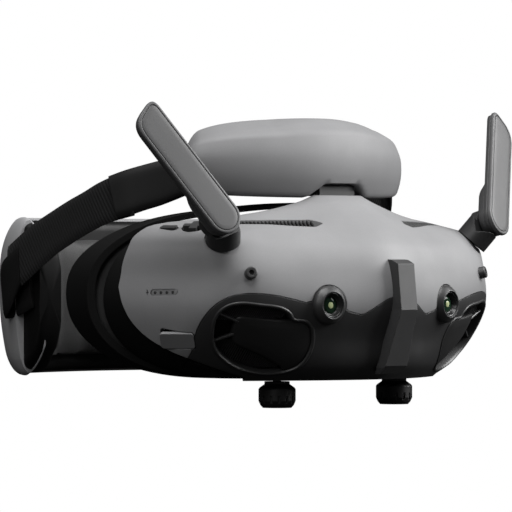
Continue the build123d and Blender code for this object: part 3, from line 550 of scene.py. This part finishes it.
EYE_X, EYE_Z = 32.0, 38.7
VENT = on_plane((57.0, -69.5, 27.5), (0.85, 0.52, 0.0), (0.50, -0.80, -0.33))
VENT_POINTS = ((18.4, 2.0), (17.4, 7.6), (14.0, 11.2), (8.4, 12.4), (1.1, 11.6), (-6.4, 10.2), (-10.6, 7.8),
               (-12.6, 5.0), (-17.4, 3.9), (-20.4, 0.6), (-21.0, -5.8), (-18.0, -12.8), (-12.4, -16.6), (-3.4, -17.6),
               (6.6, -14.9), (14.2, -9.4), (17.6, -4.0))
BLADE_POINTS = ((10.4, 2.6), (9.4, 5.9), (6.4, 6.6), (-4.0, 5.4), (-12.0, 4.5), (-17.0, 3.5), (-20.0, 0.4),
                (-20.6, -5.8), (-17.6, -12.5), (-12.2, -16.2), (-8.6, -13.6), (-2.6, -10.0), (3.4, -7.2), (9.4, -4.4),
                (10.7, -1.0))
CAMERA = on_plane((32.2, -82.6, EYE_Z), (1, 0.14, 0), (0.14, -1, 0))
ANTENNA = on_plane((69.3, -61.7, 65.2), (0.86, 0.0, -0.511), (0.455, -0.455, 0.766))
NAV = level_plane((-69.0, -46.5, 67.842), (-0.261, -0.159, 0.952))
BACK = level_plane((-73.5, -37.5, 67.316), (-0.352, -0.029, 0.935))
LED = level_plane((-83.849, -43.5, 44.0), (-0.937, -0.305, 0.171))
POWER = level_plane((83.849, -43.5, 44.0), (0.937, -0.305, 0.171))
PORT = level_plane((-78.548, -47.0, 25.5), (-0.72, -0.424, -0.55))
JACK = level_plane((80.486, -44.0, 26.0), (0.774, -0.359, -0.522))
KNOB_SLOT = on_plane((EYE_X, -52.8, 6), (1, 0, 0), (0, 0, 1))


def seam_outline(gap):
    """The front view's area below the seam, grown or shrunk by half the seam's gap."""
    valley = [(0, 42.5), (6.9, 40.8), (15.6, 35.8), (16.8, 35.3), (18.2, 35.2), (23.4, 36.4)]
    hood = [(EYE_X + 7.5 * math.cos(a), EYE_Z + 7.5 * math.sin(a))
            for a in [math.radians(192 - 6 * k) for k in range(31)]]
    side = [(p[0], p[1]) for p in smooth_curve([(41.6, 39.7), (47, 41), (55, 42.6), (63.6, 43.2), (70, 42),
                                                (74.2, 38.5), (76, 33), (75.6, 27), (73.5, 19), (72.5, 4)], 60)]
    side_from_x = 66
    half = [(x - (gap if x > side_from_x else 0.0), z - (gap if x <= side_from_x else gap * 0.5))
            for x, z in valley + hood + side]
    return [(-x, z) for x, z in reversed(half[1:])] + half


skin_verts, skin_faces = cover_skin()
form = plain("form", skin_verts, skin_faces)
wall = form.modifiers.new("wall", "SOLIDIFY")
wall.thickness = COVER_WALL * MM
wall.offset = -1.0
wall.use_even_offset = False
applied(form)


def front_view(x, z, y):
    return Vector((x, y, z))


def top_view(x, y, z):
    return Vector((x, y, z))


cutters = []
TOP_STRIP = ((22.0, -67.4), (26.5, -67.8), (58.4, -52.6), (59.6, -49.0), (55.4, -48.6), (25.0, -62.8))
for placed in (lambda place: place, mirrored_place):
    for outline, place, low, high in ((closed_curve(VENT_POINTS, 72), VENT, -14, 12), (circle(5.6), CAMERA, -14, 10),
                                      (circle(6.9, 56), ANTENNA, -3.6, 16),
                                      (slot_outline(7.6, 3.8), KNOB_SLOT, 0, 10),
                                      (rounded_corners(TOP_STRIP, 0.9, 4), top_view, 58, 84)):
        cutters.append(prism("cut", outline, placed(place), low, high))
PORT_CORNERS = ((-6.85, -3.55), (6.85, -3.55), (6.85, 3.55), (-6.85, 3.55))
for outline, place, low, high in ((circle(5.0), NAV, -6, 6), (slot_outline(8.2, 3.4), BACK, -6, 6),
                                  (slot_outline(12, 2.4), LED, -6, 6), (slot_outline(9.0, 4.4), POWER, -6, 6),
                                  (rounded_corners(PORT_CORNERS, 1.3, 5), PORT, -5, 6), (circle(3.1), JACK, -20, 4)):
    cutters.append(prism("cut", outline, place, low, high))
form_low = linked("form_low", form.data.copy())
HALF_SEAM = 0.13
for obj, gap, operation in ((form, -HALF_SEAM, "DIFFERENCE"), (form_low, HALF_SEAM, "INTERSECT")):
    helper = prism("seam", seam_outline(gap), front_view, -110, -12)
    boolean(obj, helper, operation)
    bpy.data.objects.remove(helper)
for cutter in cutters:
    low, high = [[pick(v.co[k] for v in cutter.data.vertices) for k in range(3)] for pick in (min, max)]
    for obj in (form, form_low):
        if any(all(low[k] < v.co[k] < high[k] for k in range(3)) for v in obj.data.vertices):
            boolean(obj, cutter)
    bpy.data.objects.remove(cutter)
for obj, name, slot, node in ((form, "cover_upper", "grey_shell", "front_cover_upper"),
                              (form_low, "cover_lower", "lower_shell", "front_cover_lower")):
    obj.name = name
    obj.data.name = name
    dressed(obj, "housing", slot, 32)
    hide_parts(node)


def turned(name, profile, place, body, slot, count, side):
    """A piece turned from a profile of (radius, height) about a plane's normal."""
    rings = [flipped([place(x, y, height) for x, y in circle(radius, count)], side) for radius, height in profile]
    return surface(name, *skin(rings), body, slot, 32)


# Profiles of (radius, height) about each front camera's axis.
CAMERA_PROFILES = (
    ("hood", "lower_shell", 72, None,
     ((7.2, -7), (7.3, -2.7), (7.1, -1.9), (6.5, -1.15), (5.75, -0.5), (5.35, -0.12), (5.15, 0.0), (4.9, -0.02),
      (4.75, -0.3), (4.7, -3.0), (4.7, -9))),
    ("bezel", "camera_ring", 64, "camera_bezels",
     ((4.7, -6), (4.7, -0.6), (4.5, -0.42), (4.25, -0.5), (4.0, -1.0), (3.5, -1.9), (3.25, -2.0), (3.2, -3.4))),
    ("lens", "camera_glass", 48, "camera_glasses",
     ((3.2, -3.2), (3.2, -2.3), (2.7, -2.05), (2.0, -1.9), (1.2, -1.82), (0.6, -1.8))),
    ("iris", "camera_glass", 32, None, ((1.25, -1.9), (1.15, -1.72), (0.8, -1.6), (0.3, -1.56))),
    ("barrel", "camera_core", 40, "camera_modules",
     ((4.1, -14), (4.4, -13.6), (4.4, -8.4), (3.1, -8.2), (3.1, -3.5))),
)
for side_name, side in SIDES:
    for part, slot, count, node, profile in CAMERA_PROFILES:
        piece = turned(f"camera_{part}_{side_name}", profile, CAMERA, "housing", slot, count, side)
        # The iris takes a pale colour: a painted glint at the lens centre.
        if part == "iris":
            piece.data.materials[0] = MATERIALS["iris"]
        if node and side == 1:
            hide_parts(node)

# --- vents, buttons, lights and grilles on the covers ---
form_tree = BVHTree.FromPolygons(skin_verts, skin_faces)
RAY_START = 25.0


def form_height(place, x, y):
    """Height of the covers' outside over a plane, at a place on that plane."""
    start, ahead = place(x, y, RAY_START), place(x, y, 0.0) - place(x, y, 1.0)
    hit = form_tree.ray_cast(start, ahead, 60.0)[0]
    return RAY_START - (hit - start).length if hit else 0.0


def over_form(place, x, y, height):
    """A point at a height over the covers' outside."""
    return place(x, y, form_height(place, x, y) + height)


def boxes(name, rows, body, slot):
    """Several bars with bevelled tops in one mesh; a row is (end, end, half width vector, half depth vector)."""
    verts, faces = [], []
    for start, end, wide, deep in rows:
        base = len(verts)
        for point in (start, end):
            for across, up in ((1, 0.55), (0.55, 1), (-0.55, 1), (-1, 0.55), (-1, -1), (1, -1)):
                verts.append(point + wide * across + deep * up)
        faces += [tuple(base + k for k in range(6)), tuple(base + 6 + k for k in range(6))]
        faces += [(base + k, base + (k + 1) % 6, base + 6 + (k + 1) % 6, base + 6 + k) for k in range(6)]
    return surface(name, verts, faces, body, slot, 30)


def drawn_in(outline, inset):
    """A closed outline moved inwards by inset."""
    count = len(outline)
    result = []
    for k in range(count):
        before, here, after = Vector(outline[k - 1]), Vector(outline[k]), Vector(outline[(k + 1) % count])
        along = (after - before).normalized()
        normal = Vector((-along.y, along.x))
        result.append(here + normal * inset)
    area = sum(p[0] * q[1] - q[0] * p[1] for p, q in zip(outline, outline[1:] + outline[:1]))
    if area < 0:
        result = [Vector(p) * 2 - r for p, r in zip(outline, result)]
    return [(p.x, p.y) for p in result]


def shrunk(outline, inset):
    """A closed outline scaled about its middle so that it moves inwards by about inset."""
    middle = sum((Vector(p) for p in outline), Vector((0, 0))) / len(outline)
    mean = sum((Vector(p) - middle).length for p in outline) / len(outline)
    share = 1 - inset / mean
    return [tuple(middle + (Vector(p) - middle) * share) for p in outline]


def blade_sink(x):
    """How far the blade's face lies below the covers' form."""
    return 0.15 + 0.075 * max(0.0, x + 18.0)


# Rings of (how far the outline is drawn in, depth below the surface).
BLADE_RINGS = ((0.3, 2.6), (0.0, 2.0), (0.0, 0.85), (0.22, 0.35), (0.6, 0.1), (1.2, 0.0), (2.4, -0.12), (4.0, -0.3),
               (5.8, -0.45))
THROAT_RINGS = ((-0.7, 0.12), (-0.2, -0.06), (0.1, 0.02), (0.35, 0.3), (0.55, 0.9), (1.0, 2.8), (1.2, 4.5))
BACKING_RINGS = ((0.8, 4.2), (0.8, 4.6))
VENT_OUT = (VENT(0, 0, 1) - VENT(0, 0, 0)).normalized()
LOUVRES, LOUVRE_PITCH, LOUVRE_LEAN = 38, 0.82, 1.6


def vent_bar(start, end, half_width, half_depth, side):
    """A row for boxes: a bar across the vent."""
    wide = (end - start).normalized().cross(VENT_OUT).normalized()
    start, end, wide, out = flipped([start, end, wide, VENT_OUT], side)
    return start, end, wide * half_width, out * half_depth


for side_name, side in SIDES:
    blade_outline, opening = closed_curve(BLADE_POINTS, 96), closed_curve(VENT_POINTS, 96)
    blade = [flipped([over_form(VENT, x, y, -blade_sink(x) - drop) for x, y in shrunk(blade_outline, inset)], side)
             for inset, drop in BLADE_RINGS]
    blade = surface(f"vent_blade_{side_name}", *skin(blade), "housing", "vent_black", 40)
    throat, backing = [[flipped([over_form(VENT, x, y, -drop) for x, y in drawn_in(opening, inset)], side)
                        for inset, drop in rings] for rings in (THROAT_RINGS, BACKING_RINGS)]
    throat = surface(f"vent_throat_{side_name}", *skin(throat, capped=False), "housing", "lower_shell", 40)
    wall = throat.modifiers.new("wall", "SOLIDIFY")
    wall.thickness = 0.25 * MM
    wall.offset = 1.0
    struts = [vent_bar(over_form(VENT, x0, y0, -1.6), over_form(VENT, x1, y1, -2.9), 0.55, 0.8, side)
              for (x0, y0), (x1, y1) in (((16.4, 8.4), (8.6, 4.4)), ((17.8, -3.4), (9.6, -0.6)))]
    boxes(f"vent_struts_{side_name}", struts, "housing", "lower_shell")
    louvres = []
    for k in range(LOUVRES):
        x = 18.0 - LOUVRE_PITCH * k
        over_blade = (5.2, 11.2 - 0.16 * max(0.0, -x) - 0.5 * max(0.0, x - 12.0), -3.0)
        under_blade = (-15.6 + 0.62 * max(0.0, x - 3.0), -3.0 - 0.5 * max(0.0, 8.0 - x), -3.5)
        for low_y, high_y, sink in (over_blade, under_blade):
            if high_y - low_y < 1.0 or x < -10.5:
                continue
            start = VENT(x + LOUVRE_LEAN, low_y, form_height(VENT, x, low_y) + sink)
            end = VENT(x - LOUVRE_LEAN, high_y, form_height(VENT, x, high_y) + sink)
            louvres.append(vent_bar(start, end, 0.21, 0.45, side))
    louvres = boxes(f"vent_louvres_{side_name}", louvres, "housing", "grille")
    surface(f"vent_backing_{side_name}", *skin(backing), "housing", "shield")
    if side == 1:
        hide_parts("vent_blades")
        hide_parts("vent_grilles")
        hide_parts("vent_frames")


def flush_plate(name, outline, place, slot, proud, edge):
    """A thin plate that follows the covers, with a rounded edge."""
    rings = []
    for inset, drop in ((0.0, 1.4), (0.0, edge), (edge * 0.3, edge * 0.3), (edge, 0.0), (edge * 2.2, -0.02)):
        rings.append([place(x, y, form_height(place, x, y) + proud - drop) for x, y in drawn_in(outline, inset)])
    return surface(name, *skin(rings), "housing", slot, 40)


pill = flush_plate("led_pill", slot_outline(11.4, 3.0), LED, "status_window", proud=-0.12, edge=0.25)
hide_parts("led_window")
for k in range(4):
    spot = circle(0.62, 20, (-3.9 + 2.6 * k, 0))
    flush_plate(f"led_dot_{k}", spot, LED, "jack_black", proud=-0.08, edge=0.06)
BOLT = ((-0.1, 1.15), (-0.75, -0.2), (-0.1, -0.2), (-0.35, -1.15), (0.65, 0.35), (0.0, 0.35), (0.45, 1.15))
BOLT_FROM_PILL = 7.4
rings = [[over_form(LED, -x - BOLT_FROM_PILL, y, lift) for x, y in BOLT] for lift in (-0.4, 0.03)]
surface("led_bolt", *skin(rings), "housing", "jack_black")

STRIP_RIBS = 24
ribs = []
for side_name, side in SIDES:
    for k in range(STRIP_RIBS):
        t = k / (STRIP_RIBS - 1)
        above = Vector((25.5 + 31.5 * t, -65.2 + 14.4 * t, 100))
        top, slope = form_tree.ray_cast(above, Vector((0, 0, -1)), 90)[:2]
        if not top:
            continue
        slope = slope if slope.z > 0 else -slope
        along = Vector((-0.43, 0.90, 0))
        along = (along - slope * along.dot(slope)).normalized()
        wide = along.cross(slope).normalized()
        middle = top - slope * 0.95
        start, end, wide, up = flipped([middle - along * 2.7, middle + along * 2.7, wide, slope], side)
        ribs.append((start, end, wide * 0.36, up * 0.5))
top_ribs = boxes("top_vent_ribs", ribs, "housing", "vent_black")
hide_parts("top_vent_grilles")

# --- antennas ---
PADDLE_PIVOT = Vector((75.3, -68.6, 72.0))
PADDLE_NORMAL = Vector((0.237, -0.921, 0.31)).normalized()
PADDLE_UP = Vector((0.473, 0.387, 0.79))
PADDLE_UP = (PADDLE_UP - PADDLE_NORMAL * PADDLE_UP.dot(PADDLE_NORMAL)).normalized()
PADDLE_ACROSS = PADDLE_UP.cross(PADDLE_NORMAL)
PADDLE_HALF = 6.95


def paddle_point(x, y, depth):
    return PADDLE_PIVOT + PADDLE_ACROSS * x + PADDLE_UP * y - PADDLE_NORMAL * depth


def paddle_end(half):
    """The round lower end of the paddle's outline."""
    turns = [math.pi + math.pi * k / 24 for k in range(25)]
    return [Vector((half * math.cos(turn), half * math.sin(turn))) for turn in turns]


def paddle_ring(inset, depth):
    """The paddle's outline drawn in by inset, at a depth behind its front face."""
    half = PADDLE_HALF - inset
    outline = paddle_end(half)
    # the tip: each corner's place and radius, between two points on the sides
    tip = [(half, 46.6 - inset, 0), (half, 47.0 - inset, 6.0), (-half, 50.4 - inset, 4.4), (-half, 46.0 - inset, 0)]
    for i in (1, 2):
        here = Vector(tip[i][:2])
        before = (Vector(tip[i - 1][:2]) - here).normalized()
        after = (Vector(tip[i + 1][:2]) - here).normalized()
        radius = max(tip[i][2] - inset * 0.6, 0.8)
        before = Vector((0, -1)) if i == 1 else before
        outline += corner(here + before * radius, here, here + after * radius, 8)
    return [paddle_point(p.x, p.y, depth) for p in outline]


def boss_ring(depth, inset, top):
    """The outline of the hinge boss behind the paddle's lower end."""
    half = PADDLE_HALF - inset
    ring = paddle_end(half)
    ring += [Vector((half, top - 3.0)), Vector((half - 0.4, top - 1.2)), Vector((half - 1.6, top)),
             Vector((-half + 1.6, top)), Vector((-half + 0.4, top - 1.2)), Vector((-half, top - 3.0))]
    return [paddle_point(p.x, p.y, depth) for p in ring]


# Rings of (inset, depth), and for the boss of (depth, inset, top).
FACE_RINGS = ((0.35, 1.7), (0.0, 1.45), (0.0, 0.55), (0.18, 0.22), (0.5, 0.05), (0.95, 0.0), (1.1, 0.05),
              (1.18, 0.28), (1.36, 0.28), (1.44, 0.05), (1.6, 0.0), (3.2, -0.04), (5.2, -0.06))
BACK_RINGS = ((2.6, 3.8), (1.3, 3.8), (0.75, 3.62), (0.45, 3.3), (0.4, 2.1), (0.55, 1.85), (0.9, 1.75))
BOSS_RINGS = ((3.5, 0.5, 15.5), (4.4, 0.5, 14.2), (5.6, 0.55, 12.4), (6.1, 0.8, 11.6), (6.35, 1.3, 10.9),
              (6.4, 2.6, 9.6))
for side_name, side in SIDES:
    for part, ring_of, rows, slot, node in (("face", paddle_ring, FACE_RINGS, "antenna_face", "antenna_front"),
                                            ("shell", paddle_ring, BACK_RINGS, "antenna_back", "antenna_back"),
                                            ("boss", boss_ring, BOSS_RINGS, "antenna_back", None)):
        piece = surface(f"antenna_{part}_{side_name}", *skin([flipped(ring_of(*row), side) for row in rows]),
                        f"antenna_paddle_{side_name}", slot, 30)
        if node:
            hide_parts(f"{node}_{side_name}")

# --- forehead pad ---
PAD_AXIS = Vector((0, 25.0, 0))
PAD_MID_Z = 93.0
PAD_HALF_ANGLE, PAD_CENTRE_R = 47.0, 75.5
NOTCH_HALF_ANGLE, NOTCH_TOP_Z, PAD_LOW_Z = 12.5, 84.3, 78.9
PAD_CORNERS = ((74.0, 85.5, 1.0), (75.0, 79.2, 2.2), (79.8, 78.9, 3.4), (82.2, 86.5, 5.0), (82.1, 96.0, 6.0),
               (79.3, 104.6, 2.0), (72.5, 109.4, 4.0), (66.2, 109.6, 1.2), (66.0, 105.5, 0.6), (73.0, 103.0, 2.0))


def pad_ring(angle, squeeze):
    """One cross-section of the pad about its axis, drawn in, drooping to the ends and notched in the middle."""
    ring = []
    turn = abs(math.degrees(angle))
    out = turn / PAD_HALF_ANGLE
    notch = NOTCH_TOP_Z - 5.8 * min(max((turn - 6.3) / 6.2, 0.0), 1.0)
    for point in filleted(PAD_CORNERS, 4):
        r = PAD_CENTRE_R + (point.x - PAD_CENTRE_R) * squeeze
        z = PAD_MID_Z + (point.y - PAD_MID_Z) * (1 - (1 - squeeze) * 0.8)
        high = min(max((point.y - PAD_MID_Z) / 16.0, 0.0), 1.0)
        front = min(max((point.x - 66.0) / 6.0, 0.0), 1.0)
        z -= high * (2.0 * out ** 2 + 3.4 * out ** 8 + 1.9 * front * min(out / 0.42, 1.0) ** 2)
        if turn < NOTCH_HALF_ANGLE and z < notch:
            z = notch + (z - PAD_LOW_Z) * 0.04
        ring.append(PAD_AXIS + Vector((r * math.sin(angle), -r * math.cos(angle), z)))
    return ring


def pad_band(steps):
    """Cross-sections from one end of the band to the other, lower and rounder towards both ends."""
    rings = []
    for i in range(steps + 1):
        share = -math.cos(math.pi * i / steps)
        share = math.copysign(abs(share) ** 0.85, share)
        fall = 0.16 * abs(share) ** 3.2
        close = 0.62 * (1 - math.sqrt(max(0.0, 1 - max(0.0, (abs(share) - 0.90) / 0.10) ** 2)))
        rings.append(pad_ring(math.radians(PAD_HALF_ANGLE) * share, 1 - fall - close))
    return rings


pad = surface("forehead_pad_shell", *skin(pad_band(150)), "headband", "pad_shell", 50)
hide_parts("forehead_shell")

# --- battery box ---
BOX_MID_Y, BOX_A, BOX_B, BOX_LOW, BOX_HIGH, BOX_END_Y = 38.0, 77.0, 53.0, 11.0, 72.0, 34.0
BOX_CORNER = 16.0
BOX_MID_Z = (BOX_LOW + BOX_HIGH) / 2
ARM_PER_RADIAN = 57.3


def box_point(share, angle):
    """A point of the box's plan: share 0 is its outside and 1 its inside. Past the ends it runs forward."""
    along = 0.0
    if angle < 0:
        along, angle = -angle, 0.0
    elif angle > math.pi:
        along, angle = angle - math.pi, math.pi
    x = (BOX_A - 15.0 * share) * math.cos(angle)
    y = BOX_MID_Y + (BOX_B - 27.0 * share) * math.sin(angle) - along * ARM_PER_RADIAN
    return Vector((x, y, 0))


def box_shrink(y, extra=0.0):
    """How far the box's lower and upper edges draw in near its ends, seen from the side."""
    gap = max(0.0, min(BOX_CORNER, y - BOX_END_Y + 0.02))
    return BOX_CORNER - math.sqrt(BOX_CORNER ** 2 - (BOX_CORNER - gap) ** 2) + extra


def box_station(angle):
    """The box's outside at an angle, and its thickness there."""
    outside = box_point(0, angle)
    return outside, (box_point(1, angle) - outside).length


def box_angles(first, steps):
    """Angles from first to its mirror image."""
    return [first + (math.pi - 2 * first) * i / steps for i in range(steps + 1)]


def box_band(first, low_in, near, far, radius):
    """Cross-sections of a curved wall of the box, between two shares of its thickness."""
    rings = []
    for angle in box_angles(first, 96):
        outside, thick = box_station(angle)
        shrink = box_shrink(outside.y, low_in)
        low, high = BOX_LOW + shrink, BOX_HIGH - shrink
        corners = ((near * thick, low, radius), (far * thick, low, radius),
                   (far * thick, high, radius), (near * thick, high, radius))
        ring = []
        for p in filleted(corners, 5):
            place = box_point(p.x / thick, angle)
            ring.append(Vector((place.x, place.y, p.y)))
        rings.append(ring)
    return rings


# The shell's outside in section: how far it is drawn in, and the height.
SHELL_SECTION = ((14.0, 72.0), (10.2, 70.9), (6.0, 67.4), (2.6, 62.2), (0.6, 55.5), (0.0, 46.0), (0.4, 36.0),
                 (1.7, 28.0), (4.4, 18.6), (8.2, 13.6), (12.0, 11.5), (14.6, 11.0))


def crowned_band(first):
    """Cross-sections of the battery box's crowned outer shell, flatter at the back."""
    outer = smooth_curve(SHELL_SECTION, 40)
    deepest = SHELL_SECTION[-1][0]
    rings = []
    for angle in box_angles(first, 110):
        outside, thick = box_station(angle)
        scale = (BOX_HIGH - BOX_LOW - 2 * box_shrink(outside.y)) / (BOX_HIGH - BOX_LOW)
        wall = (0.45 + 0.15 * math.sin(angle)) * thick
        back = min(max((math.sin(angle) - 0.5) / 0.3, 0.0), 1.0)
        depth = min(wall - 0.8, deepest) / deepest * (1 - 0.42 * back * back * (3 - 2 * back))
        ring = []
        for inset, z in outer:
            place = box_point(inset * depth / thick, angle)
            ring.append(Vector((place.x, place.y, BOX_MID_Z + (z - BOX_MID_Z) * scale)))
        inside = box_point(wall / thick, angle)
        for z in (11.6, 14.0, 40.0, 69.0, 71.4):
            ring.append(Vector((inside.x, inside.y, BOX_MID_Z + (z - BOX_MID_Z) * scale)))
        rings.append(ring)
    return rings


def shortened(node, share):
    """The frame's own piece made less tall about its middle, so that it stays inside the crowned shell."""
    obj = frame_copy(node, "short")
    heights = [vertex.co.z for vertex in obj.data.vertices]
    middle = (min(heights) + max(heights)) / 2
    for vertex in obj.data.vertices:
        vertex.co.z = middle + (vertex.co.z - middle) * share
    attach(obj, "headband")
    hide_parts(node)


shortened("battery_cells", 0.78)
shortened("strap_bars", 0.6)

LIP_START = -(BOX_MID_Y - BOX_END_Y) / ARM_PER_RADIAN
shell = surface("battery_box_shell", *skin(crowned_band(math.radians(7.0))), "headband", "rear_shell", 60)
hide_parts("rear_shell")
rim = surface("battery_box_rim", *skin(box_band(LIP_START, 1.3, 0.24, 0.985, 4.0)), "headband", "rear_frame", 50)
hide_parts("rear_frame")
# A thin strip of the shell's light grey inside the dark rim: a painted highlight line along the shell's inner edge.
surface("battery_box_highlight_bead", *skin(box_band(LIP_START * 0.8, 0.7, 0.46, 0.50, 0.4)), "headband", "rear_shell", 50)

# --- padded pieces ---
CLOTH_FRAMES = 20


def puffed(node, body, slot, towards_head, voxel=0.0045, cap=0.0035, shrink=0.0008):
    """A cushion blown up from the frame's own piece, held flat where it rests on its shell."""
    obj = frame_copy(node, "soft")
    cleaned(obj.data, near=1e-5, turned_out=False)
    remesh = obj.modifiers.new("remesh", "REMESH")
    remesh.mode = "VOXEL"
    remesh.voxel_size = voxel
    bpy.context.view_layer.update()
    applied(obj)
    normals = [v.normal.copy() for v in obj.data.vertices]
    start = [v.co - n * shrink for v, n in zip(obj.data.vertices, normals)]
    for v, p in zip(obj.data.vertices, start):
        v.co = p
    cloth = obj.modifiers.new("cloth", "CLOTH")
    cloth.settings.use_pressure = True
    cloth.settings.uniform_pressure_force = 4.0
    cloth.settings.effector_weights.gravity = 0.0
    cloth.settings.quality = 5
    cloth.collision_settings.use_collision = False
    cloth.point_cache.frame_start = 1
    cloth.point_cache.frame_end = CLOTH_FRAMES
    for step in range(1, CLOTH_FRAMES + 1):
        bpy.context.scene.frame_set(step)
    applied(obj)
    bpy.context.scene.frame_set(1)
    for v, p, n in zip(obj.data.vertices, start, normals):
        move = v.co - p
        share = min(max(n.dot(towards_head(p)) * 1.4, 0.0), 1.0)
        if move.length > cap:
            move = move.normalized() * cap
        v.co = p + move * share
    finer = obj.modifiers.new("finer", "SUBSURF")
    finer.levels = finer.render_levels = 1
    bpy.context.view_layer.update()
    applied(obj)
    dressed(obj, body, slot)
    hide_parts(node)


def to_axis(point):
    """The level direction from a place on the headband to the head's middle."""
    return Vector((-point.x, 0.025 - point.y, 0)).normalized()


puffed("forehead_cushion", "headband", "pad_cushion", to_axis)
puffed("rear_cushion", "headband", "rear_cushion", to_axis)
puffed("face_foam", "housing", "face_foam", lambda point: Vector((0, 1, 0)), voxel=0.003, cap=0.0015,
       shrink=0.0004)

# --- straps ---
# Each row: upper edge y and z, lower edge y and z, distance from the middle plane at either edge.
SLEEVE_ROWS = ((-29.0, 95.6, -29.6, 81.0, 52.3, 53.0), (-25.5, 94.8, -26.8, 79.0, 56.2, 56.9),
               (-20.0, 92.9, -22.0, 76.2, 61.6, 62.2), (-15.0, 91.1, -17.4, 74.2, 66.2, 66.8),
               (-10.0, 89.2, -13.6, 72.4, 70.4, 70.5), (-4.6, 87.0, -9.4, 71.1, 73.5, 73.2))
WEBBING_ROWS = ((-11.0, 89.2, -15.0, 72.2, 70.2, 69.9), (-0.9, 85.0, -5.5, 69.6, 74.0, 73.6),
                (7.1, 81.2, 3.0, 66.3, 75.3, 75.0), (15.7, 77.6, 12.0, 62.3, 76.0, 75.8),
                (24.5, 73.6, 21.9, 57.3, 76.4, 76.4), (33.3, 69.2, 32.0, 50.6, 77.2, 77.2),
                (40.5, 64.4, 40.6, 44.4, 78.2, 78.2), (46.0, 60.6, 46.4, 39.4, 78.6, 78.6))
FOLD_ROWS = ((40.0, 60.6, 39.0, 46.0, 78.7, 78.7), (45.2, 57.4, 44.0, 36.8, 79.2, 79.2),
             (49.0, 54.2, 47.2, 33.8, 79.0, 78.8), (50.8, 51.0, 48.4, 33.0, 77.6, 77.4),
             (49.8, 49.6, 47.0, 33.2, 76.2, 76.0), (45.6, 49.0, 42.4, 34.6, 75.3, 75.2),
             (38.5, 49.4, 36.5, 37.2, 74.4, 74.3))


def strap(name, rows, thick, slot, side, steps):
    """A flat strap with rounded edges along rows of edge points."""
    rows = smooth_curve(rows, steps)
    across = [k / 12 for k in range(13)]
    rings = []
    for i, (high_y, high_z, low_y, low_z, high_x, low_x) in enumerate(rows):
        high, low = Vector((high_x, high_y, high_z)), Vector((low_x, low_y, low_z))
        before, after = rows[max(i - 1, 0)], rows[min(i + 1, len(rows) - 1)]
        along = Vector((after[4] - before[4], after[0] - before[0], after[1] - before[1])).normalized()
        out = (low - high).normalized().cross(along).normalized()
        half = [thick / 2 * (1 - (2 * abs(t - 0.5)) ** 8 * 0.75) for t in across]
        ring = [high.lerp(low, t) + out * h for t, h in zip(across, half)]
        ring += [high.lerp(low, t) - out * h for t, h in reversed(list(zip(across, half)))]
        rings.append(flipped(ring, side))
    return surface(name, *skin(rings), "headband", slot, 60)


for side_name, side in SIDES:
    sleeve = strap(f"strap_sleeve_{side_name}", SLEEVE_ROWS, 2.6, "sleeve", side, 24)
    band = strap(f"strap_webbing_{side_name}", WEBBING_ROWS, 1.5, "webbing", side, 70)
    strap(f"strap_fold_{side_name}", FOLD_ROWS, 1.7, "sleeve", side, 48)
    if side == 1:
        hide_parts("strap_sleeves")
        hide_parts("strap_webbing")

# --- camera, floor and light ---
AIM = Vector((-71.4, -81.0, 57.0)) * MM
BACKWARDS = Vector((-1, -1, 0)).normalized()
DISTANCE = 1.736
SENSOR = 36.0
FRAME_PIXELS = 512
FOCAL_PIXELS = 4748.0
camera_data = bpy.data.cameras.new("camera")
camera_data.sensor_width = SENSOR
camera_data.lens = FOCAL_PIXELS * SENSOR / FRAME_PIXELS
camera_data.clip_start = 0.05
camera_data.clip_end = 100
camera = linked("camera", camera_data)
camera.location = AIM + BACKWARDS * DISTANCE
camera.rotation_euler = (-BACKWARDS).to_track_quat("-Z", "Y").to_euler()
bpy.context.scene.camera = camera
bpy.context.scene.view_settings.view_transform = "Standard"
WHITE = (1, 1, 1, 1)


def by_ray(add, lit, seen):
    """One shader that lights and is lit, and another that the camera sees."""
    node = add("ShaderNodeMixShader", Fac=add("ShaderNodeLightPath").outputs["Is Camera Ray"])
    plug(node.inputs[1], lit.outputs[0])
    plug(node.inputs[2], seen.outputs[0])
    return node.outputs[0]


bpy.ops.mesh.primitive_circle_add(vertices=96, radius=40, fill_type="NGON", location=(0, 0, -0.5 * MM))
floor = bpy.context.object
floor.name = "floor"
floor_material, add, place = new_material("floor")
pale = mixed(add, noise(add, place, 30.0, Detail=2.0), (0.02, 0.02, 0.02, 1), (0.03, 0.03, 0.03, 1))
matt = add("ShaderNodeBsdfPrincipled", Base_Color=pale, Roughness=0.9, Specular_IOR_Level=0.0)
glow = add("ShaderNodeEmission", Color=WHITE, Strength=1.0)
add("ShaderNodeOutputMaterial", Surface=by_ray(add, matt, glow))
floor.data.materials.append(floor_material)

world = bpy.data.worlds.new("studio")
bpy.context.scene.world = world
add = new_nodes(world)
to_scene = add("ShaderNodeBackground", Color=WHITE, Strength=0.07)
to_camera = add("ShaderNodeBackground", Color=WHITE, Strength=1.0)
add("ShaderNodeOutputWorld", Surface=by_ray(add, to_scene, to_camera))


def softbox(name, place, size, power):
    """An area light that looks at the middle of the goggles."""
    data = bpy.data.lights.new(name, "AREA")
    data.shape = "RECTANGLE"
    data.size, data.size_y = size
    data.energy = power
    lamp = linked(name, data)
    lamp.location = place
    lamp.rotation_euler = (Vector((0, 0, 0.05)) - Vector(place)).to_track_quat("-Z", "Y").to_euler()


softbox("key", (1.4, -1.0, 0.95), (1.1, 1.1), 54)
softbox("top", (-0.3, -0.3, 1.5), (1.2, 1.2), 30)
softbox("left", (-1.5, -0.6, 0.95), (0.6, 0.8), 7)
